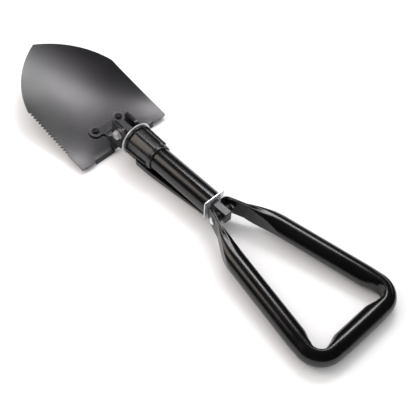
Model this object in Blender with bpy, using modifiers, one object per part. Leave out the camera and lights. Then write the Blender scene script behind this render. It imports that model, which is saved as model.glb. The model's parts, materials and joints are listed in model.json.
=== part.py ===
"""Folding camp shovel: a dished blade, a pick and a triangular handle on one locking shaft.

The shovel is laid out in the shaft's own frame: the blade hinge is the origin, +X runs
towards the blade's point, +Y towards its saw edge and +Z out of the blade's upper face.
One empty, rest_frame, then lays the whole tool on the ground, where it lies on the
blade's folded rear edge and on the grip.

The inner bar carries both hinges. The tube floats on the bar. A threaded collar on the
tube pushes a washer against the blade's ears and the tube's end plate against the
handle's ears, and so locks both folds.
"""

import math

import bmesh
import bpy
from mathutils import Matrix, Vector

MM = 0.001

# Clearances
TOUCH_GAP = 0.3 * MM            # between pieces that are clamped or riveted together
RUNNING_GAP = 0.3 * MM          # radial, between a pin and what turns on it
SLIDING_GAP = 0.4 * MM          # radial, between the tube, its sleeve and the collar
FOLD_GAP = 0.4 * MM             # between a turning ear and the piece that clamps it

# Blade
BLADE_LENGTH = 186.7 * MM       # rear edge to point
BLADE_WIDTH = 140.0 * MM
BLADE_THICKNESS = 2.0 * MM
BLADE_REAR_X = 1.3 * MM
BLADE_REAR_DEPTH = 25.9 * MM    # upper face below the hinge, at the rear edge
BLADE_LIFT = 36.9 * MM          # how far the point rises above the rear edge
BLADE_DISH = 8.0 * MM           # how far the shoulders rise above the middle
SHOULDER_LENGTH = 108.2 * MM    # rear edge to the start of the point
POINT_ARC_RADIUS = 120.4 * MM
TOOTH_COUNT = 16
TOOTH_PITCH = 4.9 * MM
TOOTH_DEPTH = 3.0 * MM
TOOTH_RAKE = 1.0 * MM
BLADE_CELLS_ACROSS = 8
FLANGE_DEPTH = 7.1 * MM         # folded rear edge, below the blade's upper face
FLANGE_CORNER_GAP = 22.5 * MM   # notch between the fold and the blade's corner
FLANGE_INNER_Y = 20.0 * MM

# Blade bracket and its ears
BRACKET_THICKNESS = 2.2 * MM
BRACKET_REAR_X = -3.0 * MM
BRACKET_FRONT_X = 42.5 * MM
EAR_THICKNESS = 2.0 * MM
EAR_INNER_Y = 10.3 * MM
EAR_FLAT = 15.75 * MM           # hinge to each clamped flat
EAR_CORNER_RADIUS = 8.0 * MM
EAR_FRONT_X = 10.8 * MM
LOBE_RADIUS = 9.0 * MM
RIVET_X = 38.0 * MM
RIVET_Y = 19.2 * MM
RIVET_SHANK_RADIUS = 2.4 * MM
RIVET_HOLE_GAP = 0.6 * MM
RIVET_HEAD_RADIUS = 4.4 * MM
RIVET_HEAD_HEIGHT = 2.6 * MM
RIVET_TAIL_HEIGHT = 0.9 * MM

# Hinge pins
EAR_NOSE_RADIUS = 1.5 * MM
EAR_SLOPE = [(12.0 * MM, -8.0 * MM), (13.5 * MM, -14.0 * MM), (16.5 * MM, -19.0 * MM)]
EAR_TOE_X = 21.0 * MM           # front of an ear's foot
EAR_TOE_HEIGHT = 1.4 * MM
EAR_HEEL_INSET = 0.5 * MM
EAR_HEEL_DEPTH = 9.0 * MM       # end of the rear flat, below the hinge
EAR_LAP = 0.1 * MM              # how far a sheet reaches past the ear it joins
EAR_OFFSET = 0.02 * MM          # keeps an ear's faces off the plate's own edges
UNION_LAP = 1.0 * MM            # how far joined pieces run into each other
LOBE_ROOT_FRONT_X = 27.0 * MM   # where a lobe runs into the strip beside the slot
LOBE_ROOT_REAR_X = 23.0 * MM
LOBE_ROOT_FLARE = 1.2 * MM
SLOT_CLEARANCE = 10.0 * MM      # how far the slot's cutter reaches past the sheet
FLANGE_INSET = 0.1 * MM
RIVET_TAIL_BASE_RADIUS = RIVET_HEAD_RADIUS - 0.6 * MM
RIVET_TAIL_END_RADIUS = RIVET_HEAD_RADIUS - 1.0 * MM
RIVET_DRILL_REACH = 8.0 * MM    # half the length of a drill
BORE_DRILL_REACH = 20.0 * MM
NUT_DRILL_REACH = 25.0 * MM
PIN_RADIUS = 3.0 * MM
BOLT_HEAD_FLATS = 10.5 * MM
BOLT_HEAD_HEIGHT = 4.0 * MM
NUT_HEIGHT = 4.6 * MM
BOLT_END = 1.0 * MM             # thread that stands out of the nut
SMALL_WASHER_RADIUS = 6.4 * MM
SMALL_WASHER_THICKNESS = 0.9 * MM

# Pick
PICK_SHEET = 2.0 * MM
PICK_EAR_OUTER_Y = 9.7 * MM
PICK_EAR_THICKNESS = 1.8 * MM
PICK_EAR_FRONT_X = 10.3 * MM
PICK_BACK_DEPTH = 28.0 * MM     # closed back below the shaft's axis, at the hinge
PICK_NECK_TOP_DEPTH = 23.3 * MM
PICK_NECK_FRONT_X = -11.8 * MM
PICK_WAIST_DEPTH = 17.4 * MM    # lower edge of the ears, in front of the neck
PICK_LENGTH = 172.0 * MM        # hinge to point
PICK_NECK_LENGTH = 29.0 * MM
PICK_FLARE_LENGTH = 7.0 * MM
PICK_HALF_WIDTH = 15.0 * MM
PICK_PARALLEL_LENGTH = 62.0 * MM
PICK_EAR_NOSE_RADIUS = 3.0 * MM
PICK_LIP_DEPTH = 17.0 * MM         # open edges of the channel, below the shaft's axis
PICK_REAR_BACK_DEPTH = 27.2 * MM   # closed back where the channel begins to taper
PICK_NECK_BEND = 3.0 * MM
PICK_BEND = 4.0 * MM
PICK_POINT_SECTIONS = [            # from the point: half width, lip depth, back depth, bend
    (20.0 * MM, 8.5 * MM, 18.0 * MM, 23.5 * MM, 3.0 * MM),
    (6.0 * MM, 5.2 * MM, 18.8 * MM, 23.3 * MM, 2.6 * MM),
    (0.0, 3.2 * MM, 19.6 * MM, 23.1 * MM, 2.4 * MM),
]
PICK_SLOT_END_X = 29.3 * MM     # slot in the blade that the pick swings through

# Inner bar
BAR_WIDTH = 10.0 * MM
BAR_HEIGHT = 16.0 * MM
BAR_FRONT_X = 10.3 * MM
BAR_TAIL = 9.6 * MM             # behind the handle pin
BAR_EDGE = 0.8 * MM
SPACER_RADIUS = 6.2 * MM

# Thrust washer and collar
WASHER_RADIUS = 22.5 * MM
WASHER_BORE = 10.6 * MM
WASHER_THICKNESS = 1.5 * MM
COLLAR_LENGTH = 42.7 * MM
COLLAR_LIP_RADIUS = 20.8 * MM
COLLAR_LIP_LENGTH = 2.5 * MM
COLLAR_FRONT_RADIUS = 18.9 * MM
COLLAR_REAR_RADIUS = 17.3 * MM
COLLAR_EDGE = 0.8 * MM          # chamfers of the collar's body
COLLAR_STEP_SLOPE = 1.0 * MM
RIB_LAP = 0.4 * MM              # how far a rib runs into the lip
SLEEVE_SETBACK = 0.5 * MM       # sleeve's front end behind the tube's
COLLAR_STEP = 26.7 * MM         # depth of the threaded front bore
RIB_COUNT = 9
RIB_LENGTH = 34.0 * MM
RIB_WIDTH = 2.2 * MM
RIB_HEIGHT = 1.3 * MM
RIB_START_ANGLE = math.radians(35.0)

# Shaft tube
TUBE_RADIUS = 15.0 * MM
TUBE_WALL = 1.7 * MM
TUBE_FRONT_SETBACK = 2.4 * MM   # tube's front end behind the collar's front face
SLEEVE_WALL = 1.3 * MM
SLEEVE_LENGTH = 18.5 * MM
END_PLATE_X = -159.25 * MM      # front face
END_PLATE_SIZE = 31.5 * MM
END_PLATE_THICKNESS = 1.5 * MM
END_PLATE_CORNER = 2.0 * MM

# Handle
HANDLE_EAR_FLAT = 13.5 * MM
HANDLE_EAR_HALF_HEIGHT = 13.0 * MM
HANDLE_EAR_CORNER = 9.5 * MM
HANDLE_EAR_Y = 15.7 * MM        # centre of an ear at the hinge
HANDLE_EAR_THICKNESS = 3.1 * MM # along the hinge rivet
HANDLE_TUBE_RADIUS = 12.7 * MM
HANDLE_WALL = 1.2 * MM
HANDLE_REACH = 211.0 * MM       # hinge to the grip's centreline
HANDLE_CORNER_Y = 65.1 * MM     # where the arm's and the grip's centrelines would meet
HANDLE_CORNER_BEND = 20.0 * MM
HANDLE_SHOULDER_REACH = 50.0 * MM  # hinge to where an arm turns in towards the shaft
HANDLE_SHOULDER_Y = 35.3 * MM
HANDLE_SHOULDER_BEND = 110.0 * MM
HANDLE_PRESSED_LENGTH = 16.0 * MM  # hinge to where the tube begins to open
HANDLE_ROUND_LENGTH = 62.0 * MM # hinge to where the tube is round
HANDLE_DROP = 0.292 * MM        # grip below the shaft's axis
HANDLE_CRUSH = 0.86             # width left at the middle of a corner bend
HANDLE_SIDES = 16
HANDLE_RIVET_HEAD_RADIUS = 5.0 * MM
HANDLE_RIVET_HEAD_HEIGHT = 3.0 * MM

# Facets
TURNED_STEPS = 48
SMALL_STEPS = 20
ARC_STEP = math.radians(18.0)

# Places that follow from the sizes above
EAR_OUTER_Y = EAR_INNER_Y + EAR_THICKNESS
HANDLE_SPREAD = (HANDLE_SHOULDER_Y - HANDLE_EAR_Y) / HANDLE_SHOULDER_REACH  # slant of an ear
EAR_CORNER_CENTRE = EAR_FLAT - EAR_CORNER_RADIUS
EAR_SWEPT_RADIUS = math.hypot(EAR_CORNER_CENTRE, EAR_CORNER_CENTRE) + EAR_CORNER_RADIUS
WASHER_FRONT_X = -(EAR_SWEPT_RADIUS + FOLD_GAP)
COLLAR_FRONT_X = WASHER_FRONT_X - WASHER_THICKNESS - TOUCH_GAP
TUBE_FRONT_X = COLLAR_FRONT_X - TUBE_FRONT_SETBACK
HANDLE_CORNER_CENTRE_X = HANDLE_EAR_FLAT - HANDLE_EAR_CORNER
HANDLE_CORNER_CENTRE_Z = HANDLE_EAR_HALF_HEIGHT - HANDLE_EAR_CORNER
HANDLE_SWEPT_RADIUS = (
    math.hypot(HANDLE_CORNER_CENTRE_X, HANDLE_CORNER_CENTRE_Z) + HANDLE_EAR_CORNER
)
HANDLE_PIN_X = END_PLATE_X - END_PLATE_THICKNESS - HANDLE_SWEPT_RADIUS - FOLD_GAP / 2
BLADE_TIP_X = BLADE_REAR_X + BLADE_LENGTH
BLADE_SHOULDER_X = BLADE_REAR_X + SHOULDER_LENGTH
FLANGE_BOTTOM_Z = -BLADE_REAR_DEPTH - FLANGE_DEPTH
GRIP_X = HANDLE_PIN_X - HANDLE_REACH
GRIP_BOTTOM_Z = -HANDLE_DROP - HANDLE_TUBE_RADIUS


# ---------------------------------------------------------------- scene and materials

def clear_scene():
    """Remove whatever the file holds."""
    for old in list(bpy.data.objects):
        bpy.data.objects.remove(old, do_unlink=True)


def make_collection(name):
    """Return a new collection in the scene."""
    collection = bpy.data.collections.new(name)
    bpy.context.scene.collection.children.link(collection)
    return collection


def make_material(name, colour, roughness, metallic):
    """Return a Principled material of one colour."""
    material = bpy.data.materials.new(name)
    material.use_nodes = True
    shader = material.node_tree.nodes["Principled BSDF"]
    shader.inputs["Base Color"].default_value = (*colour, 1.0)
    shader.inputs["Roughness"].default_value = roughness
    shader.inputs["Metallic"].default_value = metallic
    material.diffuse_color = (*colour, 1.0)
    return material


def powder_coat_black():
    """Satin black coat of the blade and its bracket."""
    return make_material("powder_coat_black", (0.020, 0.020, 0.022), 0.42, 0.0)


def gloss_enamel_black():
    """Gloss black enamel of the tubes and the pick."""
    return make_material("gloss_enamel_black", (0.012, 0.012, 0.014), 0.16, 0.0)


def moulded_black():
    """Gloss black moulding of the collar."""
    return make_material("moulded_black", (0.016, 0.016, 0.018), 0.24, 0.0)


def zinc_plate():
    """Bright zinc plating of the washer, end plate and fasteners."""
    return make_material("zinc_plate", (0.62, 0.64, 0.66), 0.28, 1.0)


def grey_steel():
    """Grey coated steel of the inner bar."""
    return make_material("grey_steel", (0.30, 0.30, 0.32), 0.45, 0.6)


def black_rivet():
    """Gloss black lacquer of the rivets."""
    return make_material("black_rivet", (0.010, 0.010, 0.012), 0.2, 0.0)


# ---------------------------------------------------------------- helpers

def add_empty(name, location, parent=None):
    """Add an empty that places what is parented to it."""
    empty = bpy.data.objects.new(name, None)
    empty.location = location
    empty.parent = parent
    PARTS.objects.link(empty)
    return empty


def add_object(name, mesh, parent, location=(0, 0, 0), rotation=(0, 0, 0), material=None):
    """Link a part, or a cutter where it has no material."""
    obj = bpy.data.objects.new(name, mesh)
    obj.location = location
    obj.rotation_euler = rotation
    obj.parent = parent
    if material is None:
        CUTTERS.objects.link(obj)
        obj.hide_render = True
        obj.display_type = "WIRE"
        return obj
    PARTS.objects.link(obj)
    mesh.materials.append(material)
    return obj


def to_mesh(name, bm, smooth_angle=None):
    """Write a bmesh to a new mesh, smooth up to smooth_angle."""
    mesh = bpy.data.meshes.new(name)
    bm.to_mesh(mesh)
    bm.free()
    if smooth_angle is not None:
        mesh.shade_smooth()
        mesh.set_sharp_from_angle(angle=smooth_angle)
    return mesh


def boolean(obj, tool, operation):
    """Cut obj with tool, or join tool to it."""
    modifier = obj.modifiers.new(f"{operation.lower()}_{tool.name}", "BOOLEAN")
    modifier.operation = operation
    modifier.solver = "EXACT"
    modifier.object = tool


def cylinder_mesh(name, radius, low, high, axis, steps=SMALL_STEPS):
    """Return a capped cylinder from low to high along axis 'X', 'Y' or 'Z'."""
    turns = {
        "X": Matrix.Rotation(math.pi / 2, 4, "Y"),
        "Y": Matrix.Rotation(-math.pi / 2, 4, "X"),
        "Z": Matrix.Identity(4),
    }
    bm = bmesh.new()
    middle = Matrix.Translation((0, 0, (low + high) / 2))
    bmesh.ops.create_cone(
        bm, cap_ends=True, segments=steps, radius1=radius, radius2=radius,
        depth=high - low, matrix=turns[axis] @ middle,
    )
    return to_mesh(name, bm)


def box_mesh(name, low, high):
    """Return a box between two corners."""
    size = Vector(high) - Vector(low)
    centre = (Vector(high) + Vector(low)) / 2
    bm = bmesh.new()
    place = Matrix.Translation(centre) @ Matrix.Diagonal((*size, 1.0))
    bmesh.ops.create_cube(bm, size=1.0, matrix=place)
    return to_mesh(name, bm)


def drill(obj, name, radius, centre, axis, reach, parent):
    """Drill a round hole through obj."""
    mesh = cylinder_mesh(name, radius, -reach, reach, axis)
    boolean(obj, add_object(name, mesh, parent, centre), "DIFFERENCE")


def arc(centre, radius, start, end, step=ARC_STEP):
    """Return points of an arc in a plane, both ends included."""
    count = max(2, math.ceil(abs(end - start) / step))
    return [
        (
            centre[0] + radius * math.cos(start + (end - start) * i / count),
            centre[1] + radius * math.sin(start + (end - start) * i / count),
        )
        for i in range(count + 1)
    ]


def plate_mesh(name, loops, thickness):
    """Return a flat plate in XY, centred on z = 0, from one outline and its holes."""
    curve = bpy.data.curves.new(name, "CURVE")
    curve.dimensions = "2D"
    curve.fill_mode = "BOTH"
    curve.extrude = thickness / 2
    for loop in loops:
        spline = curve.splines.new("POLY")
        spline.points.add(len(loop) - 1)
        for point, (x, y) in zip(spline.points, loop):
            point.co = (x, y, 0.0, 1.0)
        spline.use_cyclic_u = True
    holder = bpy.data.objects.new(name, curve)
    PARTS.objects.link(holder)
    depsgraph = bpy.context.evaluated_depsgraph_get()
    mesh = bpy.data.meshes.new_from_object(holder.evaluated_get(depsgraph))
    bpy.data.objects.remove(holder, do_unlink=True)
    bpy.data.curves.remove(curve)
    bm = bmesh.new()
    bm.from_mesh(mesh)
    bmesh.ops.remove_doubles(bm, verts=bm.verts, dist=1e-6)
    bm.to_mesh(mesh)
    bm.free()
    return mesh


def turned(name, profile, closed, material, parent, location, axis, steps=TURNED_STEPS):
    """Turn a profile of (radius, height) points about an axis.

    The profile runs down its outer side; heights count along +X or +Y.
    """
    mesh = bpy.data.meshes.new(name)
    count = len(profile)
    edges = [(i, i + 1) for i in range(count - 1)]
    if closed:
        edges.append((count - 1, 0))
    mesh.from_pydata([(radius, 0.0, height) for radius, height in profile], edges, [])
    turn = {"X": (0, math.pi / 2, 0), "Y": (-math.pi / 2, 0, 0), "Z": (0, 0, 0)}[axis]
    obj = add_object(name, mesh, parent, location, turn, material)
    screw = obj.modifiers.new("turn", "SCREW")
    screw.axis = "Z"
    screw.steps = steps
    screw.render_steps = steps
    screw.use_merge_vertices = True
    screw.merge_threshold = 1e-5
    screw.use_smooth_shade = True
    return obj


def ring_profile(inner, outer, low, high):
    """Return the profile of a plain ring."""
    return [(outer, high), (outer, low), (inner, low), (inner, high)]


def loft_mesh(name, rings, closed):
    """Skin a list of equal rings of points, leaving both ends open."""
    bm = bmesh.new()
    rows = [[bm.verts.new(point) for point in ring] for ring in rings]
    sides = len(rings[0]) if closed else len(rings[0]) - 1
    for near, far in zip(rows, rows[1:]):
        for i in range(sides):
            j = (i + 1) % len(near)
            bm.faces.new((near[i], near[j], far[j], far[i]))
    return to_mesh(name, bm, smooth_angle=math.radians(40))


def solidify(obj, thickness):
    """Give an open surface its sheet thickness, inwards."""
    shell = obj.modifiers.new("sheet", "SOLIDIFY")
    shell.thickness = thickness
    shell.offset = -1.0
    shell.use_even_offset = True


# ---------------------------------------------------------------- blade

def blade_top(x, y):
    """Return the height of the blade's upper face."""
    along = (x - BLADE_REAR_X) / BLADE_LENGTH
    rise = min(max((x - BLADE_REAR_X) / SHOULDER_LENGTH, 0.0), 1.0)
    dish = BLADE_DISH * rise * (2.0 - rise) * (2.0 * y / BLADE_WIDTH) ** 2
    return -BLADE_REAR_DEPTH + BLADE_LIFT * max(along, 0.0) ** 2 + dish


def blade_half_width(x):
    """Return half the blade's width: parallel sides, then two arcs to the point."""
    half = BLADE_WIDTH / 2
    if x <= BLADE_SHOULDER_X:
        return half
    chord = Vector((BLADE_TIP_X - BLADE_SHOULDER_X, -half))
    sagitta_side = Vector((half, BLADE_TIP_X - BLADE_SHOULDER_X)).normalized()
    middle = Vector(((BLADE_TIP_X + BLADE_SHOULDER_X) / 2, half / 2))
    reach = math.sqrt(POINT_ARC_RADIUS ** 2 - (chord.length / 2) ** 2)
    centre = middle - sagitta_side * reach
    return max(centre.y + math.sqrt(POINT_ARC_RADIUS ** 2 - (x - centre.x) ** 2), 0.0)


def blade_stations():
    """Return the stations along the blade and whether each is a tooth's root."""
    teeth_start = BLADE_SHOULDER_X - TOOTH_COUNT * TOOTH_PITCH
    rear_count = 5
    point_count = 13
    stations = [
        (BLADE_REAR_X + (teeth_start - BLADE_REAR_X) * i / rear_count, False)
        for i in range(rear_count)
    ]
    for i in range(2 * TOOTH_COUNT):
        stations.append((teeth_start + i * TOOTH_PITCH / 2, i % 2 == 1))
    for i in range(point_count + 1):
        share = math.sin(0.5 * math.pi * i / point_count)
        stations.append((BLADE_SHOULDER_X + (BLADE_TIP_X - BLADE_SHOULDER_X) * share, False))
    return stations


def build_blade(parent):
    """Pressed blade: dished sheet, saw edge, folded rear edge, slot for the pick."""
    stations = blade_stations()
    cells = len(stations) - 1
    bm = bmesh.new()
    bmesh.ops.create_grid(bm, x_segments=cells, y_segments=BLADE_CELLS_ACROSS, size=1.0)
    for vertex in bm.verts:
        x, is_root = stations[round((vertex.co.x + 1.0) / 2.0 * cells)]
        across = vertex.co.y
        y = across * blade_half_width(x)
        if is_root and across > 0.99:
            y -= TOOTH_DEPTH
            x += TOOTH_RAKE
        vertex.co = (x, y, blade_top(x, y))
    bmesh.ops.remove_doubles(bm, verts=bm.verts, dist=1e-5)
    mesh = to_mesh("blade", bm, smooth_angle=math.radians(30))
    blade = add_object("blade", mesh, parent, material=COAT)
    solidify(blade, BLADE_THICKNESS)
    slot = box_mesh(
        "blade_slot",
        (BLADE_REAR_X - SLOT_CLEARANCE, -EAR_INNER_Y, -BLADE_REAR_DEPTH - SLOT_CLEARANCE),
        (PICK_SLOT_END_X, EAR_INNER_Y, -BLADE_REAR_DEPTH + SLOT_CLEARANCE),
    )
    boolean(blade, add_object("blade_slot", slot, parent), "DIFFERENCE")
    for side, name in ((1, "left"), (-1, "right")):
        centre = (RIVET_X, side * RIVET_Y, blade_top(RIVET_X, RIVET_Y))
        hole = RIVET_SHANK_RADIUS + RIVET_HOLE_GAP
        drill(blade, f"blade_hole_{name}", hole, centre, "Z", RIVET_DRILL_REACH, parent)
    low_y = FLANGE_INNER_Y
    high_y = BLADE_WIDTH / 2 - FLANGE_CORNER_GAP
    for side, name in ((1, "left"), (-1, "right")):
        ends = sorted((side * low_y, side * high_y))
        low = (BLADE_REAR_X + FLANGE_INSET, ends[0], FLANGE_BOTTOM_Z)
        top = -BLADE_REAR_DEPTH - BLADE_THICKNESS / 2
        high = (BLADE_REAR_X + FLANGE_INSET + BLADE_THICKNESS, ends[1], top)
        flange = box_mesh(f"flange_{name}", low, high)
        boolean(blade, add_object(f"flange_{name}", flange, parent), "UNION")


def lobe_outline(side):
    """Return one lobe of the bracket, from its front edge to the ear beside the slot."""
    meet = math.acos((BRACKET_FRONT_X - RIVET_X) / LOBE_RADIUS)
    points = arc((RIVET_X, RIVET_Y), LOBE_RADIUS, -meet, math.radians(210))
    points.append((LOBE_ROOT_FRONT_X, EAR_OUTER_Y + LOBE_ROOT_FLARE))
    points.append((LOBE_ROOT_REAR_X, EAR_OUTER_Y + EAR_LAP))
    points += [(BRACKET_REAR_X, EAR_OUTER_Y + EAR_LAP), (BRACKET_REAR_X, EAR_INNER_Y)]
    points.append((PICK_SLOT_END_X, EAR_INNER_Y))
    return [(x, side * y) for x, y in points]


def ear_outline():
    """Return the blade ear's outline in (x, z): two clamped flats and a sloping front."""
    foot_z = -BLADE_REAR_DEPTH + TOUCH_GAP + 0.5 * BRACKET_THICKNESS
    points = arc(
        (-EAR_CORNER_CENTRE, EAR_CORNER_CENTRE), EAR_CORNER_RADIUS,
        math.pi, math.pi / 2, math.radians(15),
    )
    points += arc(
        (EAR_FRONT_X - EAR_NOSE_RADIUS, EAR_FLAT - EAR_NOSE_RADIUS), EAR_NOSE_RADIUS,
        math.pi / 2, 0.0,
    )
    points += EAR_SLOPE
    points += [(EAR_TOE_X, foot_z + EAR_TOE_HEIGHT), (EAR_TOE_X, foot_z)]
    points += [(BRACKET_REAR_X + EAR_HEEL_INSET, foot_z), (-EAR_FLAT, -EAR_HEEL_DEPTH)]
    return points


def stand_plate(name, outline, thickness, low_y, parent, material=None):
    """Stand an (x, z) outline up as a plate from low_y to low_y + thickness."""
    mesh = plate_mesh(name, [outline], thickness)
    place = (0, low_y + thickness / 2, 0)
    return add_object(name, mesh, parent, place, (math.pi / 2, 0, 0), material)


def build_bracket(parent):
    """Bracket plate riveted to the blade, with the two upturned hinge ears."""
    outline = lobe_outline(1) + list(reversed(lobe_outline(-1)))
    mesh = plate_mesh("blade_bracket", [outline], BRACKET_THICKNESS)
    seat = TOUCH_GAP + BRACKET_THICKNESS / 2
    for vertex in mesh.vertices:
        vertex.co.z += blade_top(vertex.co.x, vertex.co.y) + seat
    bracket = add_object("blade_bracket", mesh, parent, material=COAT)
    for low_y, name in ((EAR_INNER_Y + EAR_OFFSET, "left"), (-EAR_OUTER_Y - EAR_OFFSET, "right")):
        ear = stand_plate(f"ear_{name}", ear_outline(), EAR_THICKNESS, low_y, parent)
        boolean(bracket, ear, "UNION")
    hole = RIVET_SHANK_RADIUS + RIVET_HOLE_GAP
    for side, name in ((1, "left"), (-1, "right")):
        centre = (RIVET_X, side * RIVET_Y, blade_top(RIVET_X, RIVET_Y))
        drill(bracket, f"bracket_hole_{name}", hole, centre, "Z", RIVET_DRILL_REACH, parent)
    drill(bracket, "ear_bore", PIN_RADIUS + TOUCH_GAP, (0, 0, 0), "Y", BORE_DRILL_REACH, parent)


def dome(radius, height, base, steps=4):
    """Return a dome's profile from its top on the axis down to its rim."""
    sphere = (radius ** 2 + height ** 2) / (2 * height)
    half_angle = math.asin(min(radius / sphere, 1.0))
    drop = sphere - height
    return [
        (sphere * math.sin(half_angle * i / steps),
         base - drop + sphere * math.cos(half_angle * i / steps))
        for i in range(steps + 1)
    ]


def build_rivets(parent):
    """Two domed rivets that hold the bracket on the blade."""
    seat = blade_top(RIVET_X, RIVET_Y)
    tilt = -math.atan2(blade_top(RIVET_X + MM, RIVET_Y) - seat, MM)
    head_base = 2 * TOUCH_GAP + BRACKET_THICKNESS
    tail_top = -BLADE_THICKNESS - TOUCH_GAP
    profile = dome(RIVET_HEAD_RADIUS, RIVET_HEAD_HEIGHT, head_base)
    profile += [
        (RIVET_SHANK_RADIUS, head_base),
        (RIVET_SHANK_RADIUS, tail_top),
        (RIVET_TAIL_BASE_RADIUS, tail_top),
        (RIVET_TAIL_END_RADIUS, tail_top - RIVET_TAIL_HEIGHT),
        (0.0, tail_top - RIVET_TAIL_HEIGHT),
    ]
    for side, name in ((1, "left"), (-1, "right")):
        place = (RIVET_X, side * RIVET_Y, seat)
        rivet = turned(
            f"bracket_rivet_{name}", profile, False, RIVET, parent, place, "Z", SMALL_STEPS,
        )
        rivet.rotation_euler = (0, tilt, 0)


# ---------------------------------------------------------------- hinge bolt

def small_washer(name, low_y, thickness, radius, material, parent, location=(0, 0, 0)):
    """Add a plain washer on a hinge pin, from low_y along +Y."""
    profile = ring_profile(PIN_RADIUS + RUNNING_GAP, radius, low_y, low_y + thickness)
    turned(name, profile, True, material, parent, location, "Y", SMALL_STEPS)


def hex_mesh(name, flats, low, high):
    """Return a hexagonal prism along Y."""
    return cylinder_mesh(name, flats / math.sqrt(3), low, high, "Y", 6)


def build_hinge_bolt(parent):
    """Hex bolt through the blade's ears, its nut and their washers."""
    washer_low = EAR_OUTER_Y + TOUCH_GAP
    seat = washer_low + SMALL_WASHER_THICKNESS + TOUCH_GAP
    end = -seat - NUT_HEIGHT - BOLT_END
    shank = cylinder_mesh("hinge_bolt", PIN_RADIUS, end, seat + UNION_LAP, "Y")
    bolt = add_object("hinge_bolt", shank, parent, material=ZINC)
    head = hex_mesh("hinge_bolt_head", BOLT_HEAD_FLATS, seat, seat + BOLT_HEAD_HEIGHT)
    boolean(bolt, add_object("hinge_bolt_head", head, parent), "UNION")
    nut_mesh = hex_mesh("hinge_nut", BOLT_HEAD_FLATS, -seat - NUT_HEIGHT, -seat)
    nut = add_object("hinge_nut", nut_mesh, parent, material=ZINC)
    drill(nut, "nut_bore", PIN_RADIUS + TOUCH_GAP, (0, 0, 0), "Y", NUT_DRILL_REACH, parent)
    small_washer(
        "hinge_bolt_washer", washer_low, SMALL_WASHER_THICKNESS, SMALL_WASHER_RADIUS,
        ZINC, parent,
    )
    small_washer(
        "hinge_nut_washer", -washer_low - SMALL_WASHER_THICKNESS, SMALL_WASHER_THICKNESS,
        SMALL_WASHER_RADIUS, ZINC, parent,
    )


# ---------------------------------------------------------------- pick

def pick_ear_outline():
    """Return the pick ear's outline in (x, z): clamped flats above, neck below."""
    points = arc(
        (-EAR_CORNER_CENTRE, EAR_CORNER_CENTRE), EAR_CORNER_RADIUS,
        math.pi, math.pi / 2, math.radians(15),
    )
    points += arc(
        (PICK_EAR_FRONT_X - PICK_EAR_NOSE_RADIUS, EAR_FLAT - PICK_EAR_NOSE_RADIUS),
        PICK_EAR_NOSE_RADIUS, math.pi / 2, 0.0,
    )
    back_z = -PICK_BACK_DEPTH + PICK_SHEET / 2
    neck_z = -PICK_NECK_TOP_DEPTH
    neck_end = -PICK_NECK_LENGTH + UNION_LAP
    points += [(PICK_EAR_FRONT_X, -PICK_WAIST_DEPTH / 2)]
    points += [(PICK_EAR_FRONT_X / 2, -PICK_WAIST_DEPTH), (0.0, -PICK_WAIST_DEPTH)]
    points += arc(
        (0.0, -PICK_WAIST_DEPTH + PICK_NECK_FRONT_X), -PICK_NECK_FRONT_X,
        math.radians(120), math.pi,
    )
    points += [(PICK_NECK_FRONT_X, back_z), (neck_end, back_z)]
    points += [(neck_end, neck_z - TOUCH_GAP), (-EAR_FLAT + TOUCH_GAP, neck_z)]
    points.append((-EAR_FLAT, -EAR_FLAT / 2))
    return points


def pick_section(x, half_width, top_z, back_z, bend):
    """Return one U-shaped outer section of the pick, from one lip round to the other."""
    left = [(half_width, top_z)]
    left += arc((half_width - bend, back_z + bend), bend, 0.0, -math.pi / 2, math.radians(30))
    right = [(-y, z) for y, z in reversed(left)]
    return [(x, y, z) for y, z in left + right]


def build_pick(parent):
    """Pick: one sheet bent to a tapering channel, with ears that turn on the hinge bolt."""
    neck_end = -PICK_NECK_LENGTH
    flare_end = neck_end - PICK_FLARE_LENGTH
    back = -PICK_BACK_DEPTH
    ear_half = PICK_EAR_OUTER_Y + EAR_LAP
    neck_top = -PICK_NECK_TOP_DEPTH
    sections = [
        pick_section(PICK_NECK_FRONT_X - UNION_LAP, ear_half, neck_top, back, PICK_NECK_BEND),
        pick_section(neck_end, ear_half, neck_top, back, PICK_NECK_BEND),
        pick_section(flare_end, PICK_HALF_WIDTH, -PICK_LIP_DEPTH, back, PICK_BEND),
        pick_section(
            -PICK_PARALLEL_LENGTH, PICK_HALF_WIDTH, -PICK_LIP_DEPTH, -PICK_REAR_BACK_DEPTH, PICK_BEND,
        ),
    ]
    for from_point, half_width, lip_depth, back_depth, bend in PICK_POINT_SECTIONS:
        x = from_point - PICK_LENGTH
        sections.append(pick_section(x, half_width, -lip_depth, -back_depth, bend))
    mesh = loft_mesh("pick", sections, closed=False)
    pick = add_object("pick", mesh, parent, material=GLOSS)
    solidify(pick, PICK_SHEET)
    lows = {
        "left": PICK_EAR_OUTER_Y - PICK_EAR_THICKNESS,
        "right": -PICK_EAR_OUTER_Y,
    }
    for name, low_y in lows.items():
        ear = stand_plate(
            f"pick_ear_{name}", pick_ear_outline(), PICK_EAR_THICKNESS, low_y, parent,
        )
        boolean(pick, ear, "UNION")
    drill(pick, "pick_bore", PIN_RADIUS + RUNNING_GAP, (0, 0, 0), "Y", BORE_DRILL_REACH, parent)


# ---------------------------------------------------------------- inner bar

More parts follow.
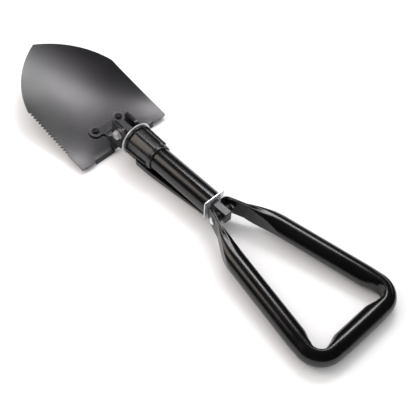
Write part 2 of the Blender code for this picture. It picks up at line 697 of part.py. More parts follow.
def build_inner_bar(parent):
    """Square-edged bar that joins the two hinges, and the spacers at its sides."""
    rear = HANDLE_PIN_X - BAR_TAIL
    mesh = box_mesh(
        "inner_bar",
        (rear, -BAR_WIDTH / 2, -BAR_HEIGHT / 2),
        (BAR_FRONT_X, BAR_WIDTH / 2, BAR_HEIGHT / 2),
    )
    bar = add_object("inner_bar", mesh, parent, material=BAR)
    bevel = bar.modifiers.new("edges", "BEVEL")
    bevel.width = BAR_EDGE
    bevel.segments = 2
    hole = PIN_RADIUS + RUNNING_GAP
    drill(bar, "bar_front_bore", hole, (0, 0, 0), "Y", BORE_DRILL_REACH, parent)
    drill(bar, "bar_rear_bore", hole, (HANDLE_PIN_X, 0, 0), "Y", BORE_DRILL_REACH, parent)
    front_low = BAR_WIDTH / 2 + TOUCH_GAP
    front_wide = PICK_EAR_OUTER_Y - PICK_EAR_THICKNESS - TOUCH_GAP - front_low
    ear_inner_y = arm_point(-SPACER_RADIUS).y - HANDLE_EAR_THICKNESS / 2
    rear_wide = ear_inner_y - TOUCH_GAP - front_low
    rear_place = (HANDLE_PIN_X, 0, 0)
    small_washer("blade_spacer_left", front_low, front_wide, SPACER_RADIUS, ZINC, parent)
    small_washer(
        "blade_spacer_right", -front_low - front_wide, front_wide, SPACER_RADIUS, ZINC, parent,
    )
    small_washer(
        "handle_spacer_left", front_low, rear_wide, SPACER_RADIUS, ZINC, parent, rear_place,
    )
    small_washer(
        "handle_spacer_right", -front_low - rear_wide, rear_wide, SPACER_RADIUS,
        ZINC, parent, rear_place,
    )


# ---------------------------------------------------------------- washer, collar and tube

def build_thrust_washer(parent):
    """Large washer that the collar drives against the ears; its front face is at 0."""
    profile = ring_profile(WASHER_BORE, WASHER_RADIUS, -WASHER_THICKNESS, 0.0)
    turned("thrust_washer", profile, True, ZINC, parent, (0, 0, 0), "X")


def ribs_mesh(name):
    """Return the collar's raised ribs, one block each, along X from the collar's front."""
    bm = bmesh.new()
    slope = (COLLAR_FRONT_RADIUS - COLLAR_REAR_RADIUS) / COLLAR_LENGTH
    start = -COLLAR_LIP_LENGTH + RIB_LAP
    end = start - RIB_LENGTH
    for index in range(RIB_COUNT):
        turn = Matrix.Rotation(RIB_START_ANGLE + 2 * math.pi * index / RIB_COUNT, 4, "X")
        block = bmesh.ops.create_cube(bm, size=1.0)
        for vertex in block["verts"]:
            x = start if vertex.co.x > 0 else end
            shell = COLLAR_FRONT_RADIUS + slope * x
            radius = shell + RIB_HEIGHT if vertex.co.y > 0 else shell - UNION_LAP
            vertex.co = turn @ Vector((x, radius, vertex.co.z * RIB_WIDTH))
    return to_mesh(name, bm)


def build_collar(parent):
    """Ribbed locking collar, bored for the threaded sleeve in front and the tube behind."""
    rear_bore = TUBE_RADIUS + SLIDING_GAP
    front_bore = TUBE_RADIUS + TOUCH_GAP + SLEEVE_WALL + SLIDING_GAP
    profile = [
        (COLLAR_LIP_RADIUS, 0.0),
        (COLLAR_LIP_RADIUS, -COLLAR_LIP_LENGTH),
        (COLLAR_FRONT_RADIUS, -COLLAR_LIP_LENGTH - COLLAR_EDGE),
        (COLLAR_REAR_RADIUS, -COLLAR_LENGTH + COLLAR_EDGE),
        (COLLAR_REAR_RADIUS - COLLAR_EDGE, -COLLAR_LENGTH),
        (rear_bore, -COLLAR_LENGTH),
        (rear_bore, -COLLAR_STEP),
        (front_bore, -COLLAR_STEP + COLLAR_STEP_SLOPE),
        (front_bore, 0.0),
    ]
    collar = turned("lock_collar", profile, True, MOULDED, parent, (0, 0, 0), "X")
    boolean(collar, add_object("collar_ribs", ribs_mesh("collar_ribs"), parent), "UNION")


def build_tube(parent):
    """Shaft tube, the threaded sleeve on its front end and the end plate at its rear."""
    length = TUBE_FRONT_X - END_PLATE_X - TOUCH_GAP
    profile = ring_profile(TUBE_RADIUS - TUBE_WALL, TUBE_RADIUS, -length, 0.0)
    turned("shaft_tube", profile, True, GLOSS, parent, (0, 0, 0), "X")
    inner = TUBE_RADIUS + TOUCH_GAP
    sleeve = ring_profile(
        inner, inner + SLEEVE_WALL, -SLEEVE_SETBACK - SLEEVE_LENGTH, -SLEEVE_SETBACK,
    )
    turned("threaded_sleeve", sleeve, True, ZINC, parent, (0, 0, 0), "X")


def rounded_rectangle(width, height, radius):
    """Return a rectangle with rounded corners, centred on the origin."""
    points = []
    for quarter, (sx, sy) in enumerate(((1, 1), (-1, 1), (-1, -1), (1, -1))):
        centre = (sx * (width / 2 - radius), sy * (height / 2 - radius))
        start = quarter * math.pi / 2
        points += arc(centre, radius, start, start + math.pi / 2, math.radians(30))
    return points


def build_end_plate(parent, location):
    """Square plate on the tube's rear end, pierced for the bar; its front face is at 0."""
    outline = rounded_rectangle(END_PLATE_SIZE, END_PLATE_SIZE, END_PLATE_CORNER)
    hole = rounded_rectangle(
        BAR_HEIGHT + 2 * SLIDING_GAP, BAR_WIDTH + 2 * SLIDING_GAP, 0.5 * MM,
    )
    mesh = plate_mesh("end_plate", [outline, hole], END_PLATE_THICKNESS)
    middle = Vector(location) - Vector((END_PLATE_THICKNESS / 2, 0, 0))
    add_object("end_plate", mesh, parent, middle, (0, math.pi / 2, 0), ZINC)


# ---------------------------------------------------------------- handle

def round_corner(before, corner, after, radius, count):
    """Return the points of an arc of the given radius between two straight runs."""
    to_before = (before - corner).normalized()
    to_after = (after - corner).normalized()
    half = to_before.angle(to_after) / 2
    centre = corner + (to_before + to_after).normalized() * radius / math.sin(half)
    start = corner + to_before * radius / math.tan(half) - centre
    end = corner + to_after * radius / math.tan(half) - centre
    sweep = start.angle_signed(end)
    return [centre + Matrix.Rotation(-sweep * i / count, 2) @ start for i in range(count + 1)]


def arm_point(reach):
    """Return the point of an ear's centreline that far behind the hinge."""
    return Vector((reach, HANDLE_EAR_Y + HANDLE_SPREAD * reach))


def handle_path():
    """Return the half handle's centreline as (reach behind the hinge, y) and its crush."""
    grip = Vector((HANDLE_REACH, 0.0))
    ear = arm_point(0.0)
    shoulder = arm_point(HANDLE_SHOULDER_REACH)
    corner = Vector((HANDLE_REACH, HANDLE_CORNER_Y))
    turn_in = round_corner(ear, shoulder, corner, HANDLE_SHOULDER_BEND, 2)
    bend = round_corner(shoulder, corner, grip, HANDLE_CORNER_BEND, 6)
    path = [(point, 1.0) for point in nose_points()]
    path.append((arm_point(HANDLE_PRESSED_LENGTH / 3), 1.0))
    path += [(arm_point(HANDLE_PRESSED_LENGTH).lerp(turn_in[0], share), 1.0) for share in (0, 0.5)]
    path += [(point, 1.0) for point in turn_in]
    path += [(turn_in[-1].lerp(bend[0], share), 1.0) for share in (0.15, 0.5, 0.93)]
    for index, point in enumerate(bend):
        squeeze = math.sin(math.pi * index / (len(bend) - 1))
        path.append((point, 1.0 - (1.0 - HANDLE_CRUSH) * squeeze))
    path.append((Vector((HANDLE_REACH, bend[-1].y * 0.75)), 1.0))
    path.append((grip, 1.0))
    return path


def nose_points():
    """Return the stations over the ear's rounded front corners."""
    angles = (90.0, 68.0, 45.0, 22.0, 0.0)
    return [
        arm_point(-HANDLE_CORNER_CENTRE_X - HANDLE_EAR_CORNER * math.sin(math.radians(angle)))
        for angle in angles
    ]


def handle_section(point, tangent, crush):
    """Return one ring round the handle's centreline: pressed flat at the ear, then round."""
    reach = point.x
    opening = HANDLE_ROUND_LENGTH - HANDLE_PRESSED_LENGTH
    share = min(max((reach - HANDLE_PRESSED_LENGTH) / opening, 0), 1)
    share = share * share * (3.0 - 2.0 * share)
    half_wide = HANDLE_EAR_THICKNESS / 2 * (1 - share) + HANDLE_TUBE_RADIUS * crush * share
    half_high = HANDLE_EAR_HALF_HEIGHT * (1 - share) + HANDLE_TUBE_RADIUS * share
    nose = -reach - HANDLE_CORNER_CENTRE_X
    if nose > 0:
        half_high = HANDLE_CORNER_CENTRE_Z + math.sqrt(
            max(HANDLE_EAR_CORNER ** 2 - nose ** 2, 0.0)
        )
    power = 2.0 / (5.0 * (1 - share) + 2.0 * share)
    side = Vector((0.0, 1.0)).lerp(Vector((-tangent.y, tangent.x)), share)
    drop = -HANDLE_DROP * max(reach, 0.0) / HANDLE_REACH
    ring = []
    for index in range(HANDLE_SIDES):
        angle = -2 * math.pi * (index + 0.5) / HANDLE_SIDES
        wide = half_wide * math.copysign(abs(math.cos(angle)) ** power, math.cos(angle))
        high = half_high * math.copysign(abs(math.sin(angle)) ** power, math.sin(angle))
        place = point + side * wide
        ring.append((-place.x, place.y, high + drop))
    return ring


def build_handle(parent):
    """Handle: one tube bent to a triangle, its ends pressed flat into hinge ears."""
    path = handle_path()
    rings = []
    for index, (point, crush) in enumerate(path):
        before = path[max(index - 1, 0)][0]
        after = path[min(index + 1, len(path) - 1)][0]
        tangent = (after - before).normalized()
        if index == len(path) - 1:
            tangent = Vector((0.0, -1.0))
        rings.append(handle_section(point, tangent, crush))
    mesh = loft_mesh("handle_frame", rings, closed=True)
    handle = add_object("handle_frame", mesh, parent, material=GLOSS)
    mirror = handle.modifiers.new("other_half", "MIRROR")
    mirror.use_axis = (False, True, False)
    mirror.merge_threshold = 1e-5
    solidify(handle, HANDLE_WALL)
    bore = PIN_RADIUS + TOUCH_GAP
    drill(handle, "handle_bore", bore, (0, 0, 0), "Y", 30 * MM, parent)


def build_handle_rivet(parent):
    """Rivet through the handle's ears and the bar, its heads flush on the slanting ears."""
    face_y = HANDLE_EAR_Y + HANDLE_EAR_THICKNESS / 2
    reach = face_y + HANDLE_RIVET_HEAD_HEIGHT / 2
    shank = cylinder_mesh("handle_rivet", PIN_RADIUS, -reach, reach, "Y")
    rivet = add_object("handle_rivet", shank, parent, material=ZINC)
    profile = dome(HANDLE_RIVET_HEAD_RADIUS, HANDLE_RIVET_HEAD_HEIGHT, TOUCH_GAP)
    profile.append((0.0, TOUCH_GAP))
    slant = math.atan(HANDLE_SPREAD)
    for side, name in ((1, "left"), (-1, "right")):
        place = (0, side * face_y, 0)
        head = turned(f"rivet_head_{name}", profile, False, None, parent, place, "Y", SMALL_STEPS)
        head.rotation_euler = (-side * math.pi / 2, 0, -side * slant)
        boolean(rivet, head, "UNION")


# ---------------------------------------------------------------- assembly

def lay_on_ground():
    """Return the empty that tips the shaft frame so that the tool lies on the ground."""
    slope = math.atan2(GRIP_BOTTOM_Z - FLANGE_BOTTOM_Z, BLADE_REAR_X + BLADE_THICKNESS - GRIP_X)
    turn = Matrix.Rotation(-slope, 3, "Y")
    tip = turn @ Vector((BLADE_TIP_X, 0, blade_top(BLADE_TIP_X, 0)))
    grip = turn @ Vector((GRIP_X, 0, -HANDLE_DROP))
    foot = turn @ Vector((BLADE_REAR_X + BLADE_THICKNESS, 0, FLANGE_BOTTOM_Z))
    middle_x = (tip.x + grip.x - HANDLE_TUBE_RADIUS) / 2
    frame = add_empty("rest_frame", (-middle_x, 0, -foot.z))
    frame.rotation_euler = (0, -slope, 0)
    return frame


def build_shovel():
    """Build every part under the empty of the body it moves with."""
    frame = lay_on_ground()
    blade_pivot = add_empty("blade_pivot", (0, 0, 0), frame)
    build_blade(blade_pivot)
    build_bracket(blade_pivot)
    build_rivets(blade_pivot)
    build_hinge_bolt(blade_pivot)
    pick_pivot = add_empty("pick_pivot", (0, 0, 0), frame)
    build_pick(pick_pivot)
    build_inner_bar(frame)
    washer_slide = add_empty("washer_slide", (WASHER_FRONT_X, 0, 0), frame)
    build_thrust_washer(washer_slide)
    collar_axis = add_empty("collar_axis", (COLLAR_FRONT_X, 0, 0), frame)
    build_collar(collar_axis)
    tube_slide = add_empty("tube_slide", (TUBE_FRONT_X, 0, 0), frame)
    build_tube(tube_slide)
    build_end_plate(tube_slide, (END_PLATE_X - TUBE_FRONT_X, 0, 0))
    handle_pivot = add_empty("handle_pivot", (HANDLE_PIN_X, 0, 0), frame)
    build_handle(handle_pivot)
    build_handle_rivet(handle_pivot)


clear_scene()
PARTS = make_collection("camp_shovel")
CUTTERS = make_collection("cutters")
COAT = powder_coat_black()
GLOSS = gloss_enamel_black()
MOULDED = moulded_black()
ZINC = zinc_plate()
BAR = grey_steel()
RIVET = black_rivet()
build_shovel()
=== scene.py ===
"""Folding camp shovel, dressed for close viewing.

Every piece is modelled in the shaft's own frame: the blade's hinge is the origin, +X runs
along the shaft towards the blade's point, +Y towards its saw edge and +Z out of the
blade's upper face. The frame's joints say where the hinges are, and its nodes say how far
each clamped piece reaches, so each piece lands on the solid that it stands for.
"""

import json
import logging
import math
from dataclasses import dataclass, field
from enum import Enum
from typing import Callable, Sequence

import bmesh
import bpy
from mathutils import Matrix, Vector


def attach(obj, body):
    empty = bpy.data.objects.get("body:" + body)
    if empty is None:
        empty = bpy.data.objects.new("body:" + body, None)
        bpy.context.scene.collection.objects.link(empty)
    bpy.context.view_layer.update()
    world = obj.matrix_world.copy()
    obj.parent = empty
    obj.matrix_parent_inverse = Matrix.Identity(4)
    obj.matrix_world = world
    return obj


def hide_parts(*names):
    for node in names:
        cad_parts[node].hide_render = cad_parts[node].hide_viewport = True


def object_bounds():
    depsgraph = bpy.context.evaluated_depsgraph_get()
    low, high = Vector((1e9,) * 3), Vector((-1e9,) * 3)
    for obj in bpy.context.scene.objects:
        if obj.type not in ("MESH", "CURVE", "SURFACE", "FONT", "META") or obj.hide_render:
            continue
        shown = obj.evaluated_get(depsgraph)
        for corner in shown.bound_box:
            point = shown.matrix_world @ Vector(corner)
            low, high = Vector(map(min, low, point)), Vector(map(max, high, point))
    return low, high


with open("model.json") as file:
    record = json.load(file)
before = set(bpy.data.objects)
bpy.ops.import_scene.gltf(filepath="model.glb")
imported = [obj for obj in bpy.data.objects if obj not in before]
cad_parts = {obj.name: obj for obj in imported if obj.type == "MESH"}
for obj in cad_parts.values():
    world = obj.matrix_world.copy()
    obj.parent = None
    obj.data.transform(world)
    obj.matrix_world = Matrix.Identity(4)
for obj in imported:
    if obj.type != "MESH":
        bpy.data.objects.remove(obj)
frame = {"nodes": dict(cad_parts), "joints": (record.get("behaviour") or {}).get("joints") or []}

MM = 0.001
LOG = logging.getLogger("camp_shovel")
CAD_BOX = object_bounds()
DRIFT_RANGE = (0.3, 0.7)        # where the slow noise really runs
EDGE_RANGE = (0.52, 0.62)       # pointiness from a flat face to the sharpest edge, for the painted edge highlight
AXIS_POINT = 1e-7               # a radius below this lies on the axis
FLOOR_HALF = 6.0
FLOOR_GAP = 0.1 * MM

Point2 = tuple[float, float]
Ring = list[Vector]


# ---------------------------------------------------------------- materials

class Slot(Enum):
    """The record's material slots."""

    POWDER_COAT = "powder_coat"
    ENAMEL = "gloss_enamel"
    LACQUER = "black_lacquer"
    MOULDING = "collar_moulding"
    ZINC = "zinc_plate"
    BAR = "grey_steel"


def linear(colour: str) -> tuple[float, float, float, float]:
    """Turn an sRGB hex colour into linear RGBA.

    Args:
        colour: Six hex digits after a hash.

    Returns:
        The linear red, green, blue and alpha.
    """
    values = [int(colour[i:i + 2], 16) / 255 for i in (1, 3, 5)]
    red, green, blue = (
        v / 12.92 if v <= 0.04045 else ((v + 0.055) / 1.055) ** 2.4 for v in values
    )
    return red, green, blue, 1.0


def add_node(
    tree: bpy.types.NodeTree,
    kind: str,
    values: dict | None = None,
    links: dict | None = None,
    **settings: object,
) -> bpy.types.Node:
    """Add one shader node.

    Args:
        tree: The node tree that takes the node.
        kind: The node's type name.
        values: Unlinked socket values, by socket name or number.
        links: Output sockets to join, by the input socket they feed.
        **settings: Properties of the node itself.

    Returns:
        The new node.
    """
    node = tree.nodes.new(kind)
    for name, value in settings.items():
        setattr(node, name, value)
    for socket, value in (values or {}).items():
        node.inputs[socket].default_value = value
    for socket, source in (links or {}).items():
        tree.links.new(source, node.inputs[socket])
    return node


@dataclass(frozen=True)
class Grain:
    """One scale of surface texture.

    Attributes:
        size: Width of one grain, in metres.
        depth: Height of the bump, in metres.
        stretch: How much longer a grain is along X, Y and Z.
    """

    size: float
    depth: float
    stretch: tuple[float, float, float] = (1.0, 1.0, 1.0)


@dataclass(frozen=True)
class Finish:
    """A surface: its colour, its gloss and its texture.

    Attributes:
        name: The material's name.
        slot: The record's slot that it belongs to.
        colour: Main colour, sRGB hex.
        mottle: Second colour that the first drifts to, sRGB hex.
        roughness: Lowest and highest roughness.
        grain: Fine texture, drawn as bump.
        cloud: Size of the slow drift in colour and gloss, in metres.
        metallic: 0 for paint and plastic; plated steel is lower than 1 where its film is dull.
        specular: Specular level; 0.5 is the plain IOR's.
        edge_highlight_colour: Colour of the painted highlight on sharp edges, sRGB hex.
        edge_highlight_share: How much of that painted highlight the sharpest edge takes.
    """

    name: str
    slot: Slot
    colour: str
    mottle: str
    roughness: tuple[float, float]
    grain: Grain
    cloud: float = 30 * MM
    metallic: float = 0.0
    specular: float = 0.5
    edge_highlight_colour: str = "#6a6a6a"
    edge_highlight_share: float = 0.0

    def material(self) -> bpy.types.Material:
        """Make the material, or find it where another piece has made it.

        Returns:
            The material.
        """
        made = bpy.data.materials.get(self.name)
        if made is not None:
            return made
        made = bpy.data.materials.new(self.name)
        made.use_nodes = True
        self.paint(made.node_tree)
        return made

    def paint(self, tree: bpy.types.NodeTree) -> None:
        """Wire the nodes of the finish.

        Args:
            tree: The material's own node tree.
        """
        shader = tree.nodes["Principled BSDF"]
        shader.inputs["Metallic"].default_value = self.metallic
        shader.inputs["Specular IOR Level"].default_value = self.specular
        place = add_node(tree, "ShaderNodeTexCoord").outputs["Object"]
        drift = add_node(
            tree, "ShaderNodeTexNoise", {"Scale": 1 / self.cloud, "Detail": 4.0}, {"Vector": place},
        )
        colour = add_node(
            tree, "ShaderNodeMix",
            {"A": linear(self.colour), "B": linear(self.mottle)},
            {"Factor": drift.outputs["Fac"]}, data_type="RGBA",
        )
        shade = colour.outputs["Result"]
        # Painted highlight: sharp edges are lightened towards the edge highlight colour.
        if self.edge_highlight_share > 0:
            shade = self.paint_edge_highlight(tree, shade, drift.outputs["Fac"])
        tree.links.new(shade, shader.inputs["Base Color"])
        low, high = self.roughness
        gloss = add_node(
            tree, "ShaderNodeMapRange",
            {"From Min": DRIFT_RANGE[0], "From Max": DRIFT_RANGE[1], "To Min": low, "To Max": high},
            {"Value": drift.outputs["Fac"]},
        )
        tree.links.new(gloss.outputs["Result"], shader.inputs["Roughness"])
        stretched = add_node(
            tree, "ShaderNodeMapping",
            {"Scale": tuple(1 / part for part in self.grain.stretch)}, {"Vector": place},
        )
        grain = add_node(
            tree, "ShaderNodeTexNoise",
            {"Scale": 1 / self.grain.size, "Detail": 2.0}, {"Vector": stretched.outputs["Vector"]},
        )
        bump = add_node(
            tree, "ShaderNodeBump", {"Strength": 1.0, "Distance": self.grain.depth},
            {"Height": grain.outputs["Fac"]},
        )
        tree.links.new(bump.outputs["Normal"], shader.inputs["Normal"])

    def paint_edge_highlight(
        self, tree: bpy.types.NodeTree, shade: bpy.types.NodeSocket, drift: bpy.types.NodeSocket,
    ) -> bpy.types.NodeSocket:
        """Paint a highlight: mix the edge highlight colour in where the surface turns a sharp edge.

        Args:
            tree: The material's node tree.
            shade: The colour so far.
            drift: Slow noise that breaks the painted highlight up.

        Returns:
            The socket of the mixed colour.
        """
        edge = add_node(
            tree, "ShaderNodeMapRange", {"From Min": EDGE_RANGE[0], "From Max": EDGE_RANGE[1]},
            {"Value": add_node(tree, "ShaderNodeNewGeometry").outputs["Pointiness"]},
        )
        broken = add_node(
            tree, "ShaderNodeMath", None, {0: edge.outputs["Result"], 1: drift},
            operation="MULTIPLY",
        )
        share = add_node(
            tree, "ShaderNodeMath", {1: self.edge_highlight_share}, {0: broken.outputs["Value"]},
            operation="MULTIPLY",
        )
        mixed = add_node(
            tree, "ShaderNodeMix", {"B": linear(self.edge_highlight_colour)},
            {"Factor": share.outputs["Value"], "A": shade}, data_type="RGBA",
        )
        return mixed.outputs["Result"]


# Polyester powder, sprayed dry and baked: an even satin black with a faint orange peel that
# spreads each light into a wide soft grey pool. Its 0.9 mm peel is drawn as it is.
# Its sharp edges are lightened towards grey: a painted edge highlight.
POWDER_COAT = Finish(
    "powder_coat_satin_black", Slot.POWDER_COAT, "#131215", "#171619", (0.22, 0.26),
    Grain(0.9 * MM, 0.006 * MM), cloud=45 * MM, specular=0.45, edge_highlight_colour="#55555a", edge_highlight_share=0.5,
)
# Gloss enamel, dipped and baked on drawn tube: deep black whose long reflections waver a
# little where the tube was drawn and pressed.
# Its sharp edges are lightened a little towards grey: a painted edge highlight.
ENAMEL = Finish(
    "gloss_enamel_black", Slot.ENAMEL, "#0a0a0b", "#0f0e10", (0.20, 0.25),
    Grain(3.0 * MM, 0.003 * MM, (12.0, 1.0, 1.0)), specular=0.5, edge_highlight_colour="#4a4a4c", edge_highlight_share=0.3,
)
# Glass-filled nylon, injection moulded in a polished tool: black with a softer gloss than
# the enamel, and faint flow lines along the shaft.
# Its sharp edges, the rib tops among them, are lightened towards grey: a painted highlight.
NYLON = Finish(
    "moulded_nylon_black", Slot.MOULDING, "#131315", "#19181a", (0.24, 0.30),
    Grain(0.7 * MM, 0.0015 * MM, (4.0, 1.0, 1.0)), cloud=12 * MM, specular=0.6,
    edge_highlight_colour="#5c5c5e", edge_highlight_share=0.6,
)
# Steel, barrel-plated in zinc: a cool silver with a fine tumbled grain. Its clear passivate
# film takes some of the metal's mirror away, so it stays light where nothing bright faces it.
# Its sharp edges are lightened towards near-white: a painted highlight.
ZINC = Finish(
    "bright_zinc_plate", Slot.ZINC, "#eef0f3", "#dde1e5", (0.30, 0.42),
    Grain(0.35 * MM, 0.003 * MM), cloud=5 * MM, metallic=0.7, edge_highlight_colour="#f6f6f4", edge_highlight_share=0.3,
)
# Flat steel bar under a thin satin black coat: lies flat, so its top takes one even grey
# reflection, and its edges carry a painted highlight, a brighter grey line.
BAR_COAT = Finish(
    "satin_black_bar", Slot.BAR, "#1f1e21", "#262528", (0.30, 0.36),
    Grain(0.5 * MM, 0.006 * MM, (6.0, 1.0, 1.0)), cloud=14 * MM, specular=0.6,
    edge_highlight_colour="#8c8c90", edge_highlight_share=0.8,
)
# Black lacquer over a cold-formed steel rivet head: glossy enough to hold a small highlight.
LACQUER = Finish(
    "black_lacquer", Slot.LACQUER, "#080809", "#0d0c0e", (0.12, 0.18),
    Grain(0.8 * MM, 0.006 * MM), cloud=4 * MM,
)


# ---------------------------------------------------------------- the shaft's frame

@dataclass(frozen=True)
class ShaftFrame:
    """The shaft's own axes, read from the frame's joints."""

    handle_pin: Vector
    place: Matrix

    @classmethod
    def from_joints(cls, joints: Sequence[dict]) -> "ShaftFrame":
        """Find the two hinges and the axis that joins them.

        Args:
            joints: The frame's joints.

        Returns:
            The shaft's frame.
        """
        by_name = {joint["name"]: joint for joint in joints}
        pin = Vector(by_name["blade_fold"]["pos_m"])
        rear = Vector(by_name["handle_fold"]["pos_m"])
        along = (pin - rear).normalized()
        up = along.cross(Vector((0.0, 1.0, 0.0))).normalized()
        turn = Matrix((along, Vector((0.0, 1.0, 0.0)), up)).transposed()
        place = Matrix.Translation(pin) @ turn.to_4x4()
        return cls(place.inverted() @ rear, place)

    def span(self, node: str) -> tuple[Vector, Vector]:
        """Return a node's lowest and highest corners along the shaft's axes.

        Args:
            node: The node's name.

        Returns:
            The lowest and the highest corner.
        """
        back = self.place.inverted()
        points = [back @ vertex.co for vertex in frame["nodes"][node].data.vertices]
        low = Vector(min(point[i] for point in points) for i in range(3))
        high = Vector(max(point[i] for point in points) for i in range(3))
        return low, high


SHAFT = ShaftFrame.from_joints(frame["joints"])


@dataclass(frozen=True)
class Place:
    """Where a piece belongs.

    Attributes:
        body: The body that the piece rides on.
        nodes: The nodes that it stands for.
    """

    body: str
    nodes: tuple[str, ...]


# ---------------------------------------------------------------- mesh tools

def arc(centre: Point2, radius: float, start: float, end: float, count: int) -> list[Point2]:
    """Return the points of an arc, both ends included.

    Args:
        centre: The arc's centre.
        radius: Its radius.
        start: First angle, in degrees.
        end: Last angle, in degrees.
        count: Number of steps.

    Returns:
        The points in order.
    """
    angles = (math.radians(start + (end - start) * i / count) for i in range(count + 1))
    return [(centre[0] + radius * math.cos(a), centre[1] + radius * math.sin(a)) for a in angles]


def rounded(corners: Sequence[tuple[float, float, float]], steps: int = 6) -> list[Point2]:
    """Round the corners of a closed outline.

    Args:
        corners: Each corner's two coordinates and its radius.
        steps: Steps in each rounding.

    Returns:
        The outline's points in order.
    """
    outline: list[Point2] = []
    count = len(corners)
    for index, (x, y, radius) in enumerate(corners):
        corner = Vector((x, y))
        before = (Vector(corners[index - 1][:2]) - corner).normalized()
        after = (Vector(corners[(index + 1) % count][:2]) - corner).normalized()
        if radius <= 0:
            outline.append((x, y))
            continue
        half = before.angle(after) / 2
        centre = corner + (before + after).normalized() * radius / math.sin(half)
        start = corner + before * radius / math.tan(half) - centre
        sweep = start.angle_signed(corner + after * radius / math.tan(half) - centre)
        for i in range(steps + 1):
            point = centre + Matrix.Rotation(-sweep * i / steps, 2) @ start
            outline.append((point.x, point.y))
    return outline


def to_mesh(name: str, bm: bmesh.types.BMesh) -> bpy.types.Mesh:
    """Write a bmesh to a new mesh with its faces turned outwards.

    Args:
        name: The mesh's name.
        bm: The bmesh, which is freed.

    Returns:
        The mesh.
    """
    bmesh.ops.recalc_face_normals(bm, faces=bm.faces)
    mesh = bpy.data.meshes.new(name)
    bm.to_mesh(mesh)
    bm.free()
    return mesh


def revolve(
    name: str, profile: Sequence[Point2], axis: str, steps: int = 72, closed: bool = True,
) -> bpy.types.Mesh:
    """Turn a profile of (radius, height) about an axis through the origin.

    Args:
        name: The mesh's name.
        profile: The profile's points, in order.
        axis: "X", "Y" or "Z".
        steps: Facets round the axis.
        closed: Whether the last point joins the first.

    Returns:
        The turned mesh.
    """
    bm = bmesh.new()
    order = {"X": (2, 0, 1), "Y": (1, 2, 0), "Z": (0, 1, 2)}[axis]
    rows = []
    for radius, height in profile:
        if radius < AXIS_POINT:
            flat = (0.0, 0.0, height)
            rows.append([bm.verts.new([flat[i] for i in order])] * steps)
            continue
        row = []
        for step in range(steps):
            turn = 2 * math.pi * step / steps
            flat = (radius * math.cos(turn), radius * math.sin(turn), height)
            row.append(bm.verts.new([flat[i] for i in order]))
        rows.append(row)
    pairs = list(zip(rows, rows[1:] + rows[:1])) if closed else list(zip(rows, rows[1:]))
    for near, far in pairs:
        for i in range(steps):
            j = (i + 1) % steps
            corners = list(dict.fromkeys((near[i], near[j], far[j], far[i])))
            if len(corners) > 2:
                bm.faces.new(corners)
    return to_mesh(name, bm)


def loft(name: str, rings: Sequence[Ring], closed: bool = False) -> bpy.types.Mesh:
    """Skin a row of rings that have the same number of points.

    Args:
        name: The mesh's name.
        rings: The rings, in order.
        closed: Whether the last ring joins the first; if not, the two end rings are filled.

    Returns:
        The skinned mesh.
    """
    bm = bmesh.new()
    rows = [[bm.verts.new(point) for point in ring] for ring in rings]
    pairs = list(zip(rows, rows[1:] + rows[:1])) if closed else list(zip(rows, rows[1:]))
    for near, far in pairs:
        for i in range(len(near)):
            j = (i + 1) % len(near)
            bm.faces.new((near[i], near[j], far[j], far[i]))
    if not closed:
        bm.faces.new(rows[0])
        bm.faces.new(rows[-1])
    return to_mesh(name, bm)


def prism(
    name: str, outline: Sequence[Point2], low: float, high: float, axis: str,
) -> bpy.types.Mesh:
    """Extrude an outline along an axis.

    Args:
        name: The mesh's name.
        outline: Points in (Y, Z), (X, Z) or (X, Y), for axis "X", "Y" or "Z".
        low: Where the prism starts.
        high: Where it ends.
        axis: "X", "Y" or "Z".

    Returns:
        The prism.
    """
    order = {"X": (2, 0, 1), "Y": (0, 2, 1), "Z": (0, 1, 2)}[axis]
    rings = [
        [Vector([(a, b, height)[i] for i in order]) for a, b in outline] for height in (low, high)
    ]
    return loft(name, rings)


def pressed_sheet(
    name: str, outline: Sequence[Point2], cell: float, shape: Callable[[float, float], Vector],
) -> bpy.types.Mesh:
    """Cut a flat blank into small cells and press it to its shape.

    Args:
        name: The mesh's name.
        outline: The blank's outline in (X, Y), anticlockwise.
        cell: Width of the cells.
        shape: Gives the pressed place of each point of the blank.

    Returns:
        The sheet's upper face, without thickness.
    """
    bm = bmesh.new()
    bm.faces.new([bm.verts.new((x, y, 0.0)) for x, y in outline])
    for axis in (0, 1):
        normal = Vector((1.0 - axis, float(axis), 0.0))
        values = [point[axis] for point in outline]
        first = math.ceil(min(values) / cell)
        for step in range(first, math.ceil(max(values) / cell)):
            parts = [*bm.verts, *bm.edges, *bm.faces]
            bmesh.ops.bisect_plane(bm, geom=parts, plane_co=normal * step * cell, plane_no=normal)
    for vertex in bm.verts:
        vertex.co = shape(vertex.co.x, vertex.co.y)
    for face in bm.faces:
        if face.normal.z < 0:
            face.normal_flip()
    mesh = bpy.data.meshes.new(name)
    bm.to_mesh(mesh)
    bm.free()
    return mesh


def thicken(obj: bpy.types.Object, thickness: float) -> None:
    """Give an open sheet its thickness, behind its face.

    Args:
        obj: The sheet.
        thickness: Its thickness.
    """
    shell = obj.modifiers.new("sheet", "SOLIDIFY")
    shell.thickness = thickness
    shell.offset = -1.0
    shell.use_even_offset = True


def soften(obj: bpy.types.Object, width: float, segments: int = 3, angle: float = 35) -> None:
    """Round the sharp edges.

    Args:
        obj: The piece.
        width: Width of the rounding.
        segments: Facets across it.
        angle: Edges sharper than this many degrees are rounded.
    """
    bevel = obj.modifiers.new("edges", "BEVEL")
    bevel.width = width
    bevel.segments = segments
    bevel.limit_method = "ANGLE"
    bevel.angle_limit = math.radians(angle)
    bevel.use_clamp_overlap = True


